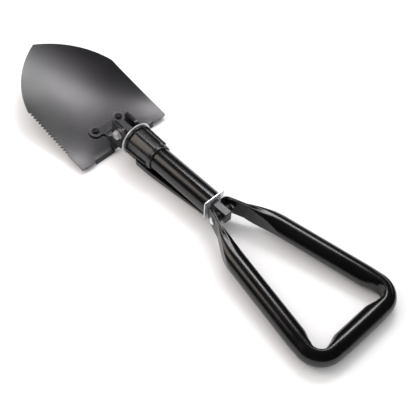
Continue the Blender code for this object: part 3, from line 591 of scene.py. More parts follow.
def boolean(obj: bpy.types.Object, tool: bpy.types.Mesh, operation: str) -> None:
    """Join a mesh to a piece, or cut the piece with it, at once.

    Args:
        obj: The piece.
        tool: The other mesh, in the piece's own frame.
        operation: "UNION", "DIFFERENCE" or "INTERSECT".
    """
    helper = bpy.data.objects.new("tool", tool)
    helper.matrix_world = obj.matrix_world
    bpy.context.scene.collection.objects.link(helper)
    modifier = obj.modifiers.new("tool", "BOOLEAN")
    modifier.operation = operation
    modifier.object = helper
    settle(obj)
    bpy.data.objects.remove(helper, do_unlink=True)


def settle(obj: bpy.types.Object) -> None:
    """Apply every modifier to the piece's mesh.

    Args:
        obj: The piece.
    """
    bpy.context.view_layer.update()
    evaluated = obj.evaluated_get(bpy.context.evaluated_depsgraph_get())
    mesh = bpy.data.meshes.new_from_object(evaluated)
    obj.modifiers.clear()
    obj.data = mesh


def put(name: str, mesh: bpy.types.Mesh, local: Matrix | None = None) -> bpy.types.Object:
    """Add a piece in the shaft's frame.

    Args:
        name: The piece's name.
        mesh: Its mesh.
        local: Its place on the shaft, where the mesh was made at the origin.

    Returns:
        The new object.
    """
    if local is not None:
        mesh.transform(local)
    obj = bpy.data.objects.new(name, mesh)
    obj.matrix_world = SHAFT.place
    bpy.context.scene.collection.objects.link(obj)
    return obj


def dress(obj: bpy.types.Object, finish: Finish, place: Place, smooth: float = 35) -> None:
    """Settle a piece's shape, give it its finish and hang it on its body.

    Args:
        obj: The piece.
        finish: Its surface.
        place: Its body and the nodes that it stands for.
        smooth: Edges up to this many degrees are shaded smooth.
    """
    settle(obj)
    obj.data.shade_smooth()
    obj.data.set_sharp_from_angle(angle=math.radians(smooth))
    weighted = obj.modifiers.new("even_faces", "WEIGHTED_NORMAL")
    weighted.keep_sharp = True
    obj.data.materials.clear()
    obj.data.materials.append(finish.material())
    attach(obj, place.body)
    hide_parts(*place.nodes)
    LOG.info("%s on %s: %d faces", obj.name, place.body, len(obj.data.polygons))


def ring_profile(inner: float, outer: float, low: float, high: float, edge: float) -> list[Point2]:
    """Return the profile of a flat ring with rounded edges.

    Args:
        inner: Bore radius.
        outer: Outer radius.
        low: Lower face.
        high: Upper face.
        edge: Radius of the rounding.

    Returns:
        The closed profile.
    """
    corners = [(outer, high, edge), (outer, low, edge), (inner, low, edge), (inner, high, edge)]
    return rounded(corners, 3)


def dome_profile(radius: float, height: float, rim: float, steps: int = 10) -> list[Point2]:
    """Return a rivet head's profile, from its top to its seat.

    Args:
        radius: Radius of the head.
        height: Height above the seat.
        rim: Height of the upright rim under the dome.
        steps: Steps down the dome.

    Returns:
        The profile, which starts and ends on the axis.
    """
    rise = height - rim
    angles = (math.pi / 2 * i / steps for i in range(steps + 1))
    profile = [(radius * math.sin(a), rim + rise * math.cos(a)) for a in angles]
    return [*profile, (radius * 0.97, 0.0), (0.0, 0.0)]


# ---------------------------------------------------------------- blade

@dataclass
class Blade:
    """Pressed steel blade: dished, saw-edged, with its rear edge folded down."""

    length: float = 186.7 * MM
    width: float = 140.0 * MM
    thickness: float = 2.0 * MM
    rear_depth: float = 25.9 * MM
    lift: float = 36.9 * MM
    dish: float = 8.0 * MM
    shoulder: float = 108.2 * MM
    point_radius: float = 120.4 * MM
    teeth: int = 16
    tooth_pitch: float = 4.9 * MM
    tooth_depth: float = 3.0 * MM
    fold_radius: float = 3.0 * MM
    fold_drop: float = 7.1 * MM
    fold_low_y: float = 20.0 * MM
    fold_high_y: float = 47.5 * MM
    relief: float = 1.5 * MM
    slot_half: float = 10.3 * MM
    slot_end: float = 29.3 * MM
    cell: float = 4.0 * MM
    corner_cut: float = 1.5 * MM
    edge: float = 0.35 * MM
    tooth_lead: float = 0.8 * MM
    tooth_shares: tuple[float, float, float] = (0.33, 0.62, 0.84)
    tooth_fall: float = 0.2 * MM
    rear: float = field(init=False)

    def __post_init__(self) -> None:
        """Find the rear edge on the frame."""
        self.rear = SHAFT.span("blade")[1].x - self.length

    def top(self, x: float, y: float) -> float:
        """Return the height of the upper face above the hinge.

        Args:
            x: Place along the shaft.
            y: Place across it.

        Returns:
            The height.
        """
        along = max((x - self.rear) / self.length, 0.0)
        rise = min(max((x - self.rear) / self.shoulder, 0.0), 1.0)
        dish = self.dish * rise * (2.0 - rise) * (2.0 * y / self.width) ** 2
        return -self.rear_depth + self.lift * along ** 2 + dish

    def press(self, x: float, y: float) -> Vector:
        """Return where the press puts a point of the flat blank.

        Args:
            x: Place along the blank.
            y: Place across it.

        Returns:
            The pressed point.
        """
        fold = self.rear + self.fold_radius
        slack = 0.01 * MM
        if x >= fold or not self.fold_low_y - slack <= abs(y) <= self.fold_high_y + slack:
            return Vector((x, y, self.top(x, y)))
        run = fold - x
        turn = min(run / self.fold_radius, math.pi / 2)
        straight = max(run - self.fold_radius * math.pi / 2, 0.0)
        drop = self.fold_radius * (1.0 - math.cos(turn)) + straight
        return Vector((fold - self.fold_radius * math.sin(turn), y, self.top(fold, y) - drop))

    def half_outline(self) -> list[Point2]:
        """Lay out half the blank's plain edge, from the middle of the slot to the shoulder, y > 0.

        Returns:
            The outline's points.
        """
        half = self.width / 2
        fold = self.rear + self.fold_radius
        reach = self.fold_radius * math.pi / 2 + self.fold_drop - self.fold_radius
        ends = (self.fold_low_y, self.fold_high_y)
        outline = [(self.slot_end, 0.0), (self.slot_end, self.slot_half)]
        outline.append((self.rear, self.slot_half))
        outline += [(self.rear, ends[0] - self.relief), (fold, ends[0] - self.relief)]
        outline += [(fold, ends[0]), (fold - reach, ends[0])]
        outline += [(fold - reach, ends[1]), (fold, ends[1])]
        outline += [(fold, ends[1] + self.relief), (self.rear, ends[1] + self.relief)]
        outline += [(self.rear, half - self.corner_cut), (self.rear + self.corner_cut, half)]
        return outline

    def point_arc(self, count: int = 28) -> list[Point2]:
        """Return the arc from the shoulder to the blade's point, y > 0.

        Args:
            count: Steps along it.

        Returns:
            The points, shoulder first.
        """
        half = self.width / 2
        shoulder = Vector((self.rear + self.shoulder, half))
        tip = Vector((self.rear + self.length, 0.0))
        chord = tip - shoulder
        inward = Vector((chord.y, -chord.x)).normalized()
        inward = inward if inward.y < 0 else -inward
        reach = math.sqrt(self.point_radius ** 2 - (chord.length / 2) ** 2)
        centre = (tip + shoulder) / 2 + inward * reach
        start = math.atan2(shoulder.y - centre.y, shoulder.x - centre.x)
        end = math.atan2(tip.y - centre.y, tip.x - centre.x)
        return arc(tuple(centre), self.point_radius, math.degrees(start), math.degrees(end), count)

    def saw(self) -> list[Point2]:
        """Lay out the saw edge from the rear towards the shoulder.

        Returns:
            The teeth's points: each has a flat gullet, a sloping front and a short top.
        """
        half = self.width / 2
        start = self.rear + self.shoulder - self.teeth * self.tooth_pitch
        root = half - self.tooth_depth
        gullet, peak, back = (share * self.tooth_pitch for share in self.tooth_shares)
        points = [(start - self.tooth_lead, half)]
        for index in range(self.teeth):
            x = start + index * self.tooth_pitch
            points += [(x, root), (x + gullet, root)]
            points += [(x + peak, half), (x + back, half - self.tooth_fall)]
        points[-1] = (self.rear + self.shoulder, half)
        return points

    def blank(self) -> list[Point2]:
        """Join both halves of the blank.

        Returns:
            The whole outline, anticlockwise.
        """
        plain = [*self.half_outline(), *self.point_arc()]
        sawn = [*self.half_outline(), *self.saw(), *self.point_arc()[1:]]
        right = [(x, -y) for x, y in plain[1:-1]]
        return [*right, plain[-1], *reversed(sawn[:-1])]

    def build(self) -> None:
        """Press the blade and dress it."""
        mesh = pressed_sheet("blade", self.blank(), self.cell, self.press)
        blade = put("blade_sheet", mesh)
        thicken(blade, self.thickness)
        soften(blade, self.edge, 2)
        dress(blade, POWDER_COAT, Place("blade_unit", ("blade",)))


@dataclass
class Bracket:
    """Bracket riveted to the blade, with its two hinge ears and the rivets."""

    blade: Blade
    gap: float = 0.3 * MM
    thickness: float = 2.2 * MM
    front: float = 42.5 * MM
    rear: float = -3.0 * MM
    lobe: float = 9.0 * MM
    rivet_x: float = 38.0 * MM
    rivet_y: float = 19.2 * MM
    fillet: float = 4.0 * MM
    ear_thickness: float = 2.0 * MM
    ear_inner: float = 10.3 * MM
    ear_flat: float = 15.75 * MM
    ear_corner: float = 8.0 * MM
    ear_front: float = 10.8 * MM
    ear_foot: float = 11.0 * MM
    edge: float = 0.35 * MM
    cell: float = 3.0 * MM
    head_radius: float = 4.4 * MM
    head_height: float = 2.6 * MM
    head_rim: float = 0.5 * MM
    rivet_shank: float = 2.4 * MM
    tail_inset: float = 0.6 * MM

    def lobe_outline(self) -> list[Point2]:
        """Return half the plate's outline from the front edge to the slot, y > 0.

        Both waists beside the lobe are hollow fillets that touch the lobe's circle.
        """
        ear_outer = self.ear_inner + self.ear_thickness
        together = self.lobe + self.fillet
        front_dx = self.front + self.fillet - self.rivet_x
        front_y = self.rivet_y - math.sqrt(together ** 2 - front_dx ** 2)
        rear_dy = ear_outer + self.fillet - self.rivet_y
        rear_x = self.rivet_x - math.sqrt(together ** 2 - rear_dy ** 2)
        first = math.degrees(math.atan2(front_y - self.rivet_y, front_dx))
        last = math.degrees(math.atan2(rear_dy, rear_x - self.rivet_x)) % 360
        points = [(self.front, 0.0)]
        points += arc((self.front + self.fillet, front_y), self.fillet, 180, 180 + first, 6)
        points += arc((self.rivet_x, self.rivet_y), self.lobe, first, last, 28)
        points += arc((rear_x, ear_outer + self.fillet), self.fillet, last - 180, -90, 6)
        points += [(self.rear, ear_outer), (self.rear, self.ear_inner)]
        points.append((self.blade.slot_end, self.ear_inner))
        return points

    def seat(self, x: float, y: float) -> Vector:
        """Return the plate's upper face over a point of the blade."""
        return Vector((x, y, self.blade.top(x, y) + self.gap + self.thickness))

    def ear_outline(self) -> list[Point2]:
        """Return an ear's outline in (X, Z)."""
        foot = -self.blade.rear_depth + self.gap + self.thickness / 2
        return rounded([
            (-self.ear_flat, self.ear_flat, self.ear_corner),
            (self.ear_front, self.ear_flat, 1.8 * MM),
            (self.ear_front + 1.4 * MM, -9.0 * MM, 12.0 * MM),
            (self.ear_front + 6.0 * MM, -20.0 * MM, 6.0 * MM),
            (self.ear_front + self.ear_foot, foot + 1.4 * MM, 0.6 * MM),
            (self.ear_front + self.ear_foot, foot, 0.0),
            (self.rear + 0.5 * MM, foot, 0.0),
            (-self.ear_flat, -9.0 * MM, 5.0 * MM),
        ])

    def build(self) -> None:
        """Build the plate with its ears, then the rivets."""
        half = self.lobe_outline()
        outline = [(x, y) for x, y in half] + [(x, -y) for x, y in reversed(half[1:])]
        plate = put("bracket_plate", pressed_sheet("plate", outline, self.cell, self.seat))
        thicken(plate, self.thickness)
        settle(plate)
        for side in (1, -1):
            ends = sorted((side * self.ear_inner, side * (self.ear_inner + self.ear_thickness)))
            ear = prism("ear", self.ear_outline(), ends[0], ends[1] + 0.01 * MM, "Y")
            boolean(plate, ear, "UNION")
        soften(plate, self.edge, 2)
        dress(plate, POWDER_COAT, Place("blade_unit", ("blade_bracket",)))
        for side, name in ((1, "left"), (-1, "right")):
            self.build_rivet(side, name)

    def build_rivet(self, side: int, name: str) -> None:
        """Build one domed rivet and its formed tail.

        Args:
            side: 1 on the saw side, -1 on the other.
            name: The side's name.
        """
        here = self.seat(self.rivet_x, side * self.rivet_y)
        ahead = self.seat(self.rivet_x + MM, side * self.rivet_y)
        tilt = Matrix.Rotation(-math.atan2(ahead.z - here.z, MM), 4, "Y")
        head = dome_profile(self.head_radius, self.head_height, self.head_rim, 12)
        through = self.thickness + self.blade.thickness + 2 * self.gap
        shank = self.rivet_shank
        tail = self.head_radius - self.tail_inset
        profile = [*head[:-1], (shank, 0.0), (shank, -through), (tail, -through)]
        profile += [(tail - 0.3 * MM, -through - 0.8 * MM), (0.0, -through - MM)]
        place = Matrix.Translation(here + Vector((0, 0, self.gap))) @ tilt
        rivet = put(f"bracket_rivet_head_{name}", revolve("rivet", profile, "Z", 40, False), place)
        dress(rivet, LACQUER, Place("blade_unit", (f"bracket_rivet_{name}",)), 50)


@dataclass
class HingeBolt:
    """Hex bolt, nut and washers of the blade's hinge."""

    shank: float = 3.0 * MM
    flats: float = 10.5 * MM
    washer_radius: float = 6.4 * MM
    washer_gap: float = 0.2 * MM
    thread_pitch: float = 1.0 * MM
    thread_depth: float = 0.45 * MM
    thread_start: float = 3.0 * MM
    thread_tip: float = 0.4 * MM
    nut_gap: float = 0.1 * MM
    edge: float = 0.12 * MM

    def hexagon(self, name: str, low: float, high: float, bevel_low: bool) -> bpy.types.Mesh:
        """Return a hexagonal block whose corners are turned off.

        Args:
            name: The mesh's name.
            low: Its lower face along Y.
            high: Its upper face along Y.
            bevel_low: Whether the lower face is turned off too.

        Returns:
            The block.
        """
        corner = self.flats / math.sqrt(3)
        outline = [
            (corner * math.cos(math.radians(a)), corner * math.sin(math.radians(a)))
            for a in range(0, 360, 60)
        ]
        block = put("hexagon", prism(name, outline, low, high, "Y"))
        inset = self.flats / 2 - 0.2 * MM
        drop = (corner - inset) * math.tan(math.radians(30)) * 1.6
        wide = corner + 0.1 * MM
        low_rim = [(inset, low), (wide, low + drop)] if bevel_low else [(wide, low)]
        profile = [(0.0, low), *low_rim, (wide, high - drop), (inset, high), (0.0, high)]
        boolean(block, revolve("turned", profile, "Y", 60, False), "INTERSECT")
        mesh = block.data
        bpy.data.objects.remove(block, do_unlink=True)
        return mesh

    def threaded(self, start: float, end: float) -> list[Point2]:
        """Return a thread's profile as close rings from start to end.

        Args:
            start: First height.
            end: Last height, lower than the first.

        Returns:
            The profile's points.
        """
        count = int((start - end) / self.thread_pitch)
        root = self.shank - self.thread_depth
        points = []
        for index in range(count):
            height = start - index * self.thread_pitch
            points += [(root, height), (self.shank, height - self.thread_pitch / 2)]
        tip = end - self.thread_tip
        return [*points, (root, end), (root - 0.5 * MM, tip), (0.0, tip)]

    def build(self) -> None:
        """Build the bolt, the nut and their washers."""
        low, high = (corner.y for corner in SHAFT.span("hinge_bolt"))
        nut_low, nut_high = (corner.y for corner in SHAFT.span("hinge_nut"))
        seat = -nut_high
        thread = nut_high + self.thread_start
        profile = [(0.0, seat + MM), (self.shank, seat + MM), (self.shank, thread)]
        profile += self.threaded(thread, low + self.thread_tip)
        bolt = put("hinge_bolt_hex", revolve("shank", profile, "Y", 40, False))
        boolean(bolt, self.hexagon("head", seat, high, False), "UNION")
        soften(bolt, self.edge, 2, 30)
        dress(bolt, ZINC, Place("blade_unit", ("hinge_bolt",)), 30)
        nut = put("hinge_nut_hex", self.hexagon("nut", nut_low, nut_high, True))
        wide = self.shank + self.nut_gap
        ends = (nut_low - MM, nut_high + MM)
        bore = [(0.0, ends[0]), (wide, ends[0]), (wide, ends[1]), (0.0, ends[1])]
        boolean(nut, revolve("bore", bore, "Y", 40, False), "DIFFERENCE")
        soften(nut, self.edge, 2, 30)
        dress(nut, ZINC, Place("blade_unit", ("hinge_nut",)), 30)
        for node in ("hinge_bolt_washer", "hinge_nut_washer"):
            ends = SHAFT.span(node)
            bore = self.shank + self.washer_gap
            ring = ring_profile(bore, self.washer_radius, ends[0].y, ends[1].y, 0.2 * MM)
            washer = put(f"{node}_ring", revolve(node, ring, "Y", 56))
            dress(washer, ZINC, Place("blade_unit", (node,)))


# ---------------------------------------------------------------- pick

@dataclass
class Pick:
    """Pick: one sheet bent to a tapering channel that turns on the blade's hinge."""

    sheet: float = 2.0 * MM
    ear_outer: float = 9.7 * MM
    ear_thickness: float = 1.8 * MM
    ear_front: float = 10.3 * MM
    ear_flat: float = 15.75 * MM
    ear_corner: float = 8.0 * MM
    waist: float = 17.4 * MM
    neck_front: float = -11.8 * MM
    neck_end: float = -29.0 * MM
    neck_top: float = -23.3 * MM
    back: float = -28.0 * MM
    point: float = -172.0 * MM
    half_width: float = 15.0 * MM
    lip: float = -17.0 * MM
    neck_bend: float = 3.0 * MM
    bend: float = 4.0 * MM
    edge: float = 0.3 * MM

    def stations(self) -> list[tuple[float, float, float, float, float]]:
        """Return (x, half width, lip height, back height, bend radius) along the pick."""
        return [
            (self.neck_front - MM, self.ear_outer, self.neck_top, self.back, self.neck_bend),
            (self.neck_end, self.ear_outer, self.neck_top, self.back, self.neck_bend),
            (self.neck_end - 2.5 * MM, 11.0 * MM, -22.0 * MM, self.back, 3.3 * MM),
            (self.neck_end - 5.0 * MM, 13.8 * MM, -18.6 * MM, self.back, 3.8 * MM),
            (self.neck_end - 8.0 * MM, self.half_width, self.lip, self.back, self.bend),
            (-62.0 * MM, self.half_width, self.lip, -27.2 * MM, self.bend),
            (-110.0 * MM, 11.6 * MM, -17.5 * MM, -25.2 * MM, 3.4 * MM),
            (self.point + 20 * MM, 8.5 * MM, -18.0 * MM, -23.5 * MM, 3.0 * MM),
            (self.point + 6 * MM, 5.2 * MM, -18.8 * MM, -23.3 * MM, 2.6 * MM),
            (self.point + 1 * MM, 3.6 * MM, -19.5 * MM, -23.1 * MM, 2.4 * MM),
            (self.point, 3.0 * MM, -19.9 * MM, -23.0 * MM, 2.3 * MM),
        ]

    def channel(self) -> bpy.types.Mesh:
        """Skin the outer side of the channel.

        Returns:
            The channel as an open sheet.
        """
        rows = []
        for x, half, lip, back, bend in self.stations():
            left = [(half, lip), (half, (lip + back + bend) / 2)]
            left += arc((half - bend, back + bend), bend, 0, -90, 6)
            section = [*left, (0.0, back), *[(-y, z) for y, z in reversed(left)]]
            rows.append([Vector((x, y, z)) for y, z in section])
        bm = bmesh.new()
        verts = [[bm.verts.new(point) for point in row] for row in rows]
        for near, far in zip(verts, verts[1:]):
            for i in range(len(near) - 1):
                bm.faces.new((near[i], near[i + 1], far[i + 1], far[i]))
        mesh = bpy.data.meshes.new("channel")
        bm.to_mesh(mesh)
        bm.free()
        return mesh

    def ear_outline(self) -> list[Point2]:
        """Return an ear's outline in (X, Z), with its neck."""
        foot = self.back + self.sheet / 2
        neck = self.neck_end + 1 * MM
        return rounded([
            (-self.ear_flat, self.ear_flat, self.ear_corner),
            (self.ear_front, self.ear_flat, 3.0 * MM),
            (self.ear_front, -self.waist / 2, 3.0 * MM),
            (self.ear_front / 2, -self.waist, 2.0 * MM),
            (-6.0 * MM, -self.waist - MM, 4.0 * MM),
            (self.neck_front, foot, 0.0),
            (neck, foot, 0.0),
            (neck, self.neck_top - 0.3 * MM, 0.0),
            (-self.ear_flat + 0.3 * MM, self.neck_top, 0.0),
            (-self.ear_flat, -self.ear_flat / 2, 2.0 * MM),
        ], 5)

    def build(self) -> None:
        """Build the pick."""
        pick = put("pick_channel", self.channel())
        thicken(pick, self.sheet)
        settle(pick)
        for side in (1, -1):
            ends = sorted((side * self.ear_outer, side * (self.ear_outer - self.ear_thickness)))
            boolean(pick, prism("ear", self.ear_outline(), *ends, "Y"), "UNION")
        soften(pick, self.edge, 2, 40)
        dress(pick, ENAMEL, Place("pick_unit", ("pick",)))


# ---------------------------------------------------------------- core

@dataclass
class Core:
    """Inner bar that carries both hinges, and the spacers beside it."""

    edge: float = 0.9 * MM
    spacer_radius: float = 6.2 * MM
    pin: float = 3.2 * MM
    spacer_edge: float = 0.3 * MM

    def build(self) -> None:
        """Build the bar and its four spacers."""
        low, high = SHAFT.span("inner_bar")
        outline = [(low.y, low.z), (high.y, low.z), (high.y, high.z), (low.y, high.z)]
        bar = put("inner_bar_steel", prism("bar", outline, low.x, high.x, "X"))
        soften(bar, self.edge, 4)
        dress(bar, BAR_COAT, Place("core", ("inner_bar",)))
        for hinge, x in (("blade", 0.0), ("handle", SHAFT.handle_pin.x)):
            for side in ("left", "right"):
                node = f"{hinge}_spacer_{side}"
                ends = SHAFT.span(node)
                reach = (ends[0].y, ends[1].y)
                ring = ring_profile(self.pin, self.spacer_radius, *reach, self.spacer_edge)
                mesh = revolve(node, ring, "Y", 56)
                spacer = put(f"{node}_ring", mesh, Matrix.Translation((x, 0, 0)))
                dress(spacer, LACQUER, Place("core", (node,)))


# ---------------------------------------------------------------- collar, washer and tube

@dataclass
class Collar:
    """Ribbed locking collar and the thrust washer in front of it."""

    washer_bore: float = 10.6 * MM
    lip_radius: float = 20.8 * MM
    lip_length: float = 2.5 * MM
    front_radius: float = 18.9 * MM
    rear_radius: float = 17.3 * MM
    bore: float = 15.4 * MM
    front_bore: float = 17.0 * MM
    bore_step: float = 26.7 * MM
    ribs: int = 9
    rib_end: float = 36.0 * MM
    rib_width: float = 2.0 * MM
    rib_height: float = 1.65 * MM
    rib_turn: float = math.radians(35.0)
    rib_flank: float = 0.25 * MM
    rib_top: float = 0.6
    rib_shoulder: float = 0.82
    panel_sink: float = 0.6 * MM
    panel_rear: float = 37.6 * MM
    panel_steps: int = 10
    panel_flatness: float = 0.65
    washer_edge: float = 0.45 * MM

    def shell(self, depth: float, length: float) -> float:
        """Return the plain radius at a depth behind the front face."""
        slope = (self.front_radius - self.rear_radius) / length
        return self.front_radius - slope * depth

    def offsets(self) -> list[tuple[float, float]]:
        """Lay out one rib and the panel beside it.

        Returns:
            The stations as (angle from the rib, share of the rib's height).
        """
        step = 2 * math.pi / self.ribs
        half = self.rib_width / 2 / self.front_radius
        flank = self.rib_flank / self.front_radius
        top = half * self.rib_top
        stations = [(-half - flank, 0.0), (-half, self.rib_shoulder), (-top, 1.0), (top, 1.0)]
        stations += [(half, self.rib_shoulder), (half + flank, 0.0)]
        panel = step - 2 * (half + flank)
        count = self.panel_steps
        stations += [(half + flank + panel * i / count, 0.0) for i in range(1, count)]
        return stations

    def depths(self, length: float) -> list[tuple[float, float]]:
        """Lay out the rings from the lip to the rear.

        Args:
            length: The collar's length.

        Returns:
            The stations as (depth, share of the rib's height).
        """
        lip = self.lip_length
        end = self.rib_end
        rows = [(lip, 1.0), (lip + 0.6 * MM, 1.0)]
        rows += [(lip + (end - lip) * i / 8, 1.0) for i in range(1, 8)]
        rows += [(end - 0.8 * MM, 1.0), (end - 0.25 * MM, 0.8), (end, 0.0)]
        rows += [(self.panel_rear - 0.4 * MM, 0.0), (self.panel_rear + 0.4 * MM, 0.0)]
        rows += [(length - 1.2 * MM, 0.0)]
        return rows

    def skin_ring(self, front: float, depth: float, share: float, length: float) -> Ring:
        """Return one ring of the ribbed skin.

        Args:
            front: The collar's front face along the shaft.
            depth: Depth behind it.
            share: How much of the ribs stands here.
            length: The collar's length.

        Returns:
            The ring's points.
        """
        base = self.shell(depth, length)
        sunk = depth < self.panel_rear
        step = 2 * math.pi / self.ribs
        ring = []
        for rib in range(self.ribs):
            for offset, height in self.offsets():
                turn = self.rib_turn + rib * step + offset
                radius = base + self.rib_height * height * share
                if height == 0.0 and sunk:
                    across = abs(((offset / step) % 1.0) - 0.5) * step
                    flat = base * math.cos(step / 2 * 0.9) / math.cos(across)
                    blend = base * (1 - self.panel_flatness) + flat * self.panel_flatness
                    radius = min(base, blend + 0.2 * MM) - self.panel_sink
                point = Vector((front - depth, radius * math.cos(turn), radius * math.sin(turn)))
                ring.append(point)
        return ring

    def plain_ring(self, x: float, radius: float) -> Ring:
        """Return a round ring whose points line up with the ribbed ones.

        Args:
            x: Place along the shaft.
            radius: The ring's radius.

        Returns:
            The ring's points.
        """
        step = 2 * math.pi / self.ribs
        turns = [
            self.rib_turn + rib * step + offset
            for rib in range(self.ribs) for offset, _ in self.offsets()
        ]
        return [Vector((x, radius * math.cos(turn), radius * math.sin(turn))) for turn in turns]

    def build(self) -> None:
        """Build the collar and the washer."""
        low, high = SHAFT.span("lock_collar")
        front, length = high.x, high.x - low.x
        outer = self.lip_radius
        lip = [(0.0, self.front_bore), (0.0, outer - 0.5 * MM), (0.12 * MM, outer - 0.12 * MM)]
        lip += [(0.5 * MM, outer), (1.9 * MM, outer), (2.3 * MM, outer - 0.12 * MM)]
        lip += [(self.lip_length, outer - 0.5 * MM)]
        rings = [self.plain_ring(front - depth, radius) for depth, radius in lip]
        for depth, share in self.depths(length):
            rings.append(self.skin_ring(front, depth, share, length))
        rear = self.shell(length, length)
        tail = [(0.8 * MM, rear), (0.25 * MM, rear - 0.2 * MM), (0.0, rear - 0.7 * MM)]
        tail.append((0.0, self.bore))
        rings += [self.plain_ring(low.x + depth, radius) for depth, radius in tail]
        rings.append(self.plain_ring(front - self.bore_step, self.bore))
        rings.append(self.plain_ring(front - self.bore_step + MM, self.front_bore))
        collar = put("lock_collar_moulding", loft("collar", rings, closed=True))
        dress(collar, NYLON, Place("collar_unit", ("lock_collar",)), 32)
        ends = SHAFT.span("thrust_washer")
        radius = ends[1].y
        ring = ring_profile(self.washer_bore, radius, ends[0].x, ends[1].x, self.washer_edge)
        washer = put("thrust_washer_ring", revolve("washer", ring, "X", 120))
        dress(washer, ZINC, Place("washer_unit", ("thrust_washer",)), 50)


@dataclass
class Tube:
    """Shaft tube, its threaded sleeve and its end plate."""

    wall: float = 1.7 * MM
    sleeve_wall: float = 1.3 * MM
    thread_pitch: float = 3.0 * MM
    thread_depth: float = 0.3 * MM
    thread_steps: int = 48
    plate_corner: float = 2.0 * MM
    hole_gap: float = 0.4 * MM
    end_edge: float = 0.4 * MM
    station_gap: float = 20.0 * MM

    def build(self) -> None:
        """Build the three pieces."""
        low, high = SHAFT.span("shaft_tube")
        ring = ring_profile(high.y - self.wall, high.y, low.x, high.x, self.end_edge)
        tube = put("shaft_tube_steel", revolve("tube", self.stretched(ring), "X", 96))
        dress(tube, ENAMEL, Place("tube_unit", ("shaft_tube",)), 40)
        low, high = SHAFT.span("threaded_sleeve")
        thread = self.thread(low.x, high.x, high.y)
        sleeve = put("threaded_sleeve_steel", revolve("sleeve", thread, "X", 96))
        dress(sleeve, ZINC, Place("tube_unit", ("threaded_sleeve",)), 50)
        self.build_plate()

    def stretched(self, ring: list[Point2]) -> list[Point2]:
        """Add stations along the long walls of the tube's profile.

        Args:
            ring: The closed profile.

        Returns:
            The profile with its new points.
        """
        points = []
        for near, far in zip(ring, ring[1:] + ring[:1]):
            count = max(1, round(abs(far[1] - near[1]) / self.station_gap))
            points += [
                (near[0] + (far[0] - near[0]) * i / count, near[1] + (far[1] - near[1]) * i / count)
                for i in range(count)
            ]
        return points

    def thread(self, low: float, high: float, radius: float) -> list[Point2]:
        """Return the sleeve's profile: coarse rounded thread outside, smooth bore inside.

        Args:
            low: Rear end.
            high: Front end.
            radius: Outer radius.

        Returns:
            The closed profile.
        """
        points = []
        for index in range(self.thread_steps + 1):
            height = high + (low - high) * index / self.thread_steps
            wave = 0.5 + 0.5 * math.cos(2 * math.pi * (height - high) / self.thread_pitch)
            points.append((radius - self.thread_depth * wave, height))
        return [*points, (radius - self.sleeve_wall, low), (radius - self.sleeve_wall, high)]

    def build_plate(self) -> None:
        """Build the square end plate round the bar."""
        low, high = SHAFT.span("end_plate")
        bar_low, bar_high = SHAFT.span("inner_bar")
        sizes = [
            (high.y, high.z, self.plate_corner),
            (bar_high.y + self.hole_gap, bar_high.z + self.hole_gap, 0.4 * MM),
        ]
        loops = []
        for wide, tall, corner in sizes:
            signs = ((1, -1), (1, 1), (-1, 1), (-1, -1))
            loops.append(rounded([(wide * a, tall * b, corner) for a, b in signs], 5))
        order = ((loops[0], high.x), (loops[0], low.x), (loops[1], low.x), (loops[1], high.x))
        rings = [[Vector((x, y, z)) for y, z in loop] for loop, x in order]
        plate = put("end_plate_square", loft("plate", rings, closed=True))
        soften(plate, 0.3 * MM, 3, 50)
        dress(plate, ZINC, Place("tube_unit", ("end_plate",)), 50)


# ---------------------------------------------------------------- handle

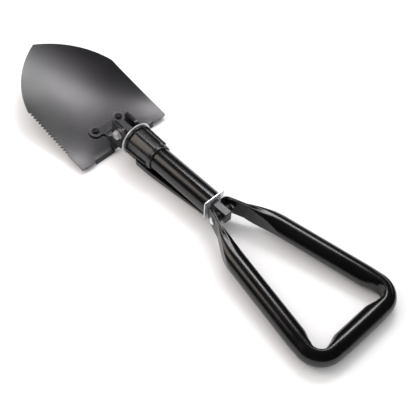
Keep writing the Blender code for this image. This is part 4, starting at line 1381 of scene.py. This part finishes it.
@dataclass
class Handle:
    """Triangular handle: one tube whose ends are pressed flat into hinge ears."""

    ear_y: float = 15.7 * MM
    ear_thickness: float = 3.1 * MM
    ear_half_height: float = 13.0 * MM
    ear_flat: float = 13.5 * MM
    ear_corner: float = 9.5 * MM
    radius: float = 12.7 * MM
    reach: float = 211.0 * MM
    corner_y: float = 65.1 * MM
    shoulder_reach: float = 50.0 * MM
    shoulder_y: float = 35.3 * MM
    shoulder_bend: float = 110.0 * MM
    bend: float = 19.0 * MM
    pressed: float = 16.0 * MM
    round_from: float = 64.0 * MM
    drop: float = 0.292 * MM
    crush: float = 0.86
    dent: float = 0.55
    seam_depth: float = 0.9 * MM
    crush_run: float = 18.0 * MM
    fold_height: float = 0.86
    fold_width: float = 0.10
    fold_sink: float = 0.11
    flare_power: float = 0.85
    flare_width: float = 1.02
    least_crease: float = math.radians(38.0)
    seam_narrowing: float = 2.2
    dent_power: float = 2.2
    dent_sink: float = 0.04
    inner_fold: float = -0.6
    cap_steps: int = 14
    side_steps: int = 14
    head_radius: float = 5.0 * MM
    head_height: float = 3.0 * MM
    head_rim: float = 0.7 * MM
    head_lift: float = 0.2 * MM
    rivet_shank: float = 3.0 * MM

    def arm(self, reach: float) -> Vector:
        """Return the point of an ear's centreline that far behind the hinge."""
        spread = (self.shoulder_y - self.ear_y) / self.shoulder_reach
        return Vector((reach, self.ear_y + spread * reach))

    def path(self) -> list[tuple[Vector, Vector, float]]:
        """Lay out half of the centreline, from an ear's nose to the middle of the grip.

        Returns:
            The stations as (point, direction, squeeze of the corner).
        """
        nose = self.ear_flat - self.ear_corner
        outward = (self.arm(self.reach) - self.arm(0.0)).normalized()
        rows = [
            (self.arm(-nose - self.ear_corner * math.sin(math.radians(a))), outward, 0.0)
            for a in (90, 84, 76, 66, 54, 40, 24, 8)
        ]
        shoulder = self.arm(self.shoulder_reach)
        corner = Vector((self.reach, self.corner_y))
        turn_in = self.turn(self.arm(0.0), shoulder, corner, self.shoulder_bend, 10)
        around = self.turn(shoulder, corner, Vector((self.reach, 0.0)), self.bend, 18)
        rows += self.run(self.arm(0.0), turn_in[0][0], 22)
        rows += [(*place, 0.0) for place in turn_in]
        arm_end = around[0][0]
        for point, along, _ in self.run(turn_in[-1][0], arm_end, 30)[1:]:
            near = self.ease(1.0 - (arm_end - point).length / self.crush_run)
            rows.append((point, along, near * 0.5))
        for index, place in enumerate(around):
            rows.append((*place, 0.5 + 0.5 * math.sin(math.pi * index / (len(around) - 1))))
        bar_start = around[-1][0]
        for point, along, _ in self.run(bar_start, Vector((self.reach, 0.0)), 14)[1:]:
            near = self.ease(1.0 - (bar_start - point).length / self.crush_run)
            rows.append((point, along, near * 0.5))
        rows.append((Vector((self.reach, 0.0)), Vector((0.0, -1.0)), 0.0))
        return rows

    @staticmethod
    def run(start: Vector, end: Vector, count: int) -> list[tuple[Vector, Vector, float]]:
        """Return stations along a straight run, its end left out.

        Args:
            start: Where it starts.
            end: Where it ends.
            count: Number of steps.

        Returns:
            The stations as (point, direction, 0).
        """
        along = (end - start).normalized()
        return [(start.lerp(end, index / count), along, 0.0) for index in range(count)]

    @staticmethod
    def turn(
        before: Vector, corner: Vector, after: Vector, radius: float, count: int,
    ) -> list[tuple[Vector, Vector]]:
        """Return stations round a bend between two straight runs.

        Args:
            before: A point of the first run.
            corner: Where the runs would meet.
            after: A point of the second run.
            radius: The bend's radius.
            count: Number of steps.

        Returns:
            The stations as (point, direction).
        """
        inward, onward = (corner - before).normalized(), (after - corner).normalized()
        half = inward.angle(onward) / 2
        start = corner - inward * radius * math.tan(half)
        centre = start + Vector((inward.y, -inward.x)) * radius
        stations = []
        for index in range(count + 1):
            twist = Matrix.Rotation(-2 * half * index / count, 2)
            stations.append((centre + twist @ (start - centre), twist @ inward))
        return stations

    @staticmethod
    def ease(share: float) -> float:
        """Return a smooth step from 0 to 1."""
        share = min(max(share, 0.0), 1.0)
        return share * share * (3.0 - 2.0 * share)

    def section(self, point: Vector, along: Vector, squeeze: float) -> Ring:
        """Return one ring round the centreline.

        The press leaves two flat sides that part like a wedge until the tube is round, and
        the bends dent the tube's inner wall.

        Args:
            point: The centreline's point, as (reach, y).
            along: The centreline's direction.
            squeeze: How far the bend has crushed the tube, 0 to 1.

        Returns:
            The ring's points in the shaft's frame.
        """
        reach = point.x
        wedge = min(max((reach - self.pressed) / (self.round_from - self.pressed), 0.0), 1.0)
        share = self.ease(wedge)
        flat = self.ear_thickness / 2
        half_wide = flat + (self.radius * self.flare_width - flat) * wedge ** self.flare_power
        half_high = self.ear_half_height + (self.radius - self.ear_half_height) * share
        nose = -reach - (self.ear_flat - self.ear_corner)
        if nose > 0:
            straight = self.ear_half_height - self.ear_corner
            half_high = straight + math.sqrt(max(self.ear_corner ** 2 - nose ** 2, 0.0))
        crease = max(math.acos(min(half_wide / self.radius, 1.0)), self.least_crease)
        side = Vector((0.0, 1.0)).lerp(Vector((-along.y, along.x)), share)
        sink = -self.drop * max(reach, 0.0) / self.reach
        ring = []
        for turn in self.turns(crease):
            wide = min(max(self.radius * math.cos(turn), -half_wide), half_wide)
            high = half_high * math.sin(turn)
            off_middle = abs(wide) / half_wide
            open_seam = max(0.0, 1.0 - off_middle * self.seam_narrowing)
            seam = self.seam_depth * (1.0 - share) * open_seam
            high -= math.copysign(min(seam, abs(high)), high)
            wide, high = self.crushed(wide, high, turn, squeeze)
            place = point + side * wide
            ring.append(Vector((SHAFT.handle_pin.x - place.x, place.y, high + sink)))
        return ring

    def turns(self, crease: float) -> list[float]:
        """Share a ring's points out between its rounded and its flat sides.

        Args:
            crease: Angle at which a flat side meets a rounded one.

        Returns:
            The angles of the points.
        """
        top = [crease + (math.pi - 2 * crease) * i / self.cap_steps for i in range(self.cap_steps)]
        left = [math.pi - crease + 2 * crease * i / self.side_steps for i in range(self.side_steps)]
        return [*top, *left, *[a + math.pi for a in top], *[a + math.pi for a in left]]

    def crushed(self, wide: float, high: float, turn: float, squeeze: float) -> Point2:
        """Return a section's point after the bend has crushed it.

        Args:
            wide: Distance out from the centreline; the inside of the bend is negative.
            high: Height above the centreline.
            turn: The point's angle on the section.
            squeeze: How far the bend has crushed the tube, 0 to 1.

        Returns:
            The moved distance and height.
        """
        wide *= 1.0 - (1.0 - self.crush) * squeeze
        inner = max(-math.cos(turn), 0.0)
        dent = self.dent * squeeze * inner ** self.dent_power
        fold = math.exp(-((abs(math.sin(turn)) - self.fold_height) / self.fold_width) ** 2)
        lean = self.fold_sink * squeeze * fold * (1.0 if math.cos(turn) > 0 else self.inner_fold)
        wide += self.radius * dent
        high *= 1.0 - self.dent_sink * squeeze - lean
        return wide, high

    def build(self) -> None:
        """Build the frame and its rivet."""
        rings = [self.section(*row) for row in self.path()]
        mirrored = [[Vector((p.x, -p.y, p.z)) for p in ring] for ring in reversed(rings[:-1])]
        handle = put("handle_tube", loft("handle", rings + mirrored))
        dress(handle, ENAMEL, Place("handle_unit", ("handle_frame",)), 30)
        self.build_rivet()

    def build_rivet(self) -> None:
        """Build the rivet, its two heads flush on the slanting ears."""
        face = self.ear_y + self.ear_thickness / 2
        slant = math.atan((self.shoulder_y - self.ear_y) / self.shoulder_reach)
        wide = self.rivet_shank
        shank = [(0.0, face), (wide, face), (wide, -face), (0.0, -face)]
        rivet = put("handle_rivet_steel", revolve("shank", shank, "Y", 40, False))
        for side in (1, -1):
            profile = dome_profile(self.head_radius, self.head_height, self.head_rim)
            head = revolve("head", profile, "Y", 48, False)
            turn = Matrix.Rotation(-side * slant, 4, "Z")
            flip = Matrix.Rotation(0.0 if side > 0 else math.pi, 4, "X")
            head.transform(Matrix.Translation((0, side * (face + self.head_lift), 0)) @ turn @ flip)
            boolean(rivet, head, "UNION")
        rivet.data.transform(Matrix.Translation((SHAFT.handle_pin.x, 0, 0)))
        dress(rivet, ZINC, Place("handle_unit", ("handle_rivet",)), 50)


# ---------------------------------------------------------------- studio

@dataclass(frozen=True)
class SoftBox:
    """One soft light.

    Attributes:
        name: Its name.
        place: Where it stands, in metres from the middle of the floor.
        aim: The point that it faces.
        size: Its two sides.
        power: Its power in watts.
        colour: Its tint, sRGB hex.
        mirrored: Whether glossy surfaces mirror it; a fill behind a grid is not mirrored.
    """

    name: str
    place: tuple[float, float, float]
    aim: tuple[float, float, float]
    size: tuple[float, float]
    power: float
    colour: str = "#ffffff"
    mirrored: bool = True

    def build(self) -> None:
        """Hang the light."""
        data = bpy.data.lights.new(self.name, "AREA")
        data.shape = "RECTANGLE"
        data.size, data.size_y = self.size
        data.energy = self.power
        data.color = linear(self.colour)[:3]
        light = bpy.data.objects.new(self.name, data)
        light.location = self.place
        light.visible_glossy = self.mirrored
        away = Vector(self.aim) - Vector(self.place)
        light.rotation_euler = away.to_track_quat("-Z", "Y").to_euler()
        bpy.context.scene.collection.objects.link(light)


@dataclass
class Studio:
    """Pale floor, soft lights and the camera."""

    floor_colour: str = "#f4f3f4"
    air_colour: str = "#ffffff"
    air_strength: float = 0.75
    azimuth: float = 226.15
    elevation: float = 51.77
    distance: float = 1.1055
    lens: float = 78.4
    sensor: float = 36.0
    floor_roughness: float = 0.9
    aim: tuple[float, float, float] = (-0.0378, -0.0053, 0.0)
    lights: tuple[SoftBox, ...] = (
        SoftBox("key_softbox", (0.27, -0.74, 1.16), (0.05, 0.0, 0.03), (0.34, 0.34), 4.2),
        SoftBox(
            "blade_softbox", (0.44, -0.50, 1.17), (0.18, 0.0, 0.03), (0.2, 0.2), 2.0, "#fffaff",
        ),
        SoftBox("warm_softbox", (0.75, 0.65, 1.0), (0.0, 0.0, 0.03), (0.7, 0.7), 5.6, "#fff3e8"),
        SoftBox(
            "fill_softbox", (0.55, -0.55, 1.75), (0.0, 0.0, 0.0), (1.8, 1.8), 13.0, mirrored=False,
        ),
    )

    def build_floor(self) -> None:
        """Lay the floor."""
        bm = bmesh.new()
        bmesh.ops.create_grid(bm, x_segments=2, y_segments=2, size=FLOOR_HALF)
        floor = bpy.data.objects.new("floor", to_mesh("floor", bm))
        floor.location.z = CAD_BOX[0].z - FLOOR_GAP
        bpy.context.scene.collection.objects.link(floor)
        material = bpy.data.materials.new("pale_paper")
        material.use_nodes = True
        shader = material.node_tree.nodes["Principled BSDF"]
        shader.inputs["Base Color"].default_value = linear(self.floor_colour)
        shader.inputs["Roughness"].default_value = self.floor_roughness
        floor.data.materials.append(material)

    def build_air(self) -> None:
        """Fill the room with even pale light."""
        world = bpy.data.worlds.new("room")
        world.use_nodes = True
        back = world.node_tree.nodes["Background"]
        back.inputs["Color"].default_value = linear(self.air_colour)
        back.inputs["Strength"].default_value = self.air_strength
        world.cycles_visibility.glossy = False
        bpy.context.scene.world = world
        bpy.context.scene.view_settings.view_transform = "Standard"

    def build_camera(self) -> None:
        """Stand the camera above and behind the handle, to one side of the shaft."""
        turn, rise = math.radians(self.azimuth), math.radians(self.elevation)
        level = math.cos(rise)
        back = Vector((math.sin(turn) * level, -math.cos(turn) * level, math.sin(rise)))
        data = bpy.data.cameras.new("camera")
        data.lens = self.lens
        data.sensor_width = self.sensor
        camera = bpy.data.objects.new("camera", data)
        camera.location = Vector(self.aim) + back * self.distance
        camera.rotation_mode = "QUATERNION"
        camera.rotation_quaternion = (-back).to_track_quat("-Z", "Y")
        bpy.context.scene.collection.objects.link(camera)
        bpy.context.scene.camera = camera

    def build(self) -> None:
        """Set the studio up."""
        self.build_floor()
        self.build_air()
        for light in self.lights:
            light.build()
        self.build_camera()


def main() -> None:
    """Build the shovel and the studio."""
    logging.basicConfig(level=logging.INFO, format="%(message)s")
    Studio().build()
    blade = Blade()
    blade.build()
    Bracket(blade).build()
    HingeBolt().build()
    Pick().build()
    Core().build()
    Collar().build()
    Tube().build()
    Handle().build()


if __name__ == "__main__":
    main()
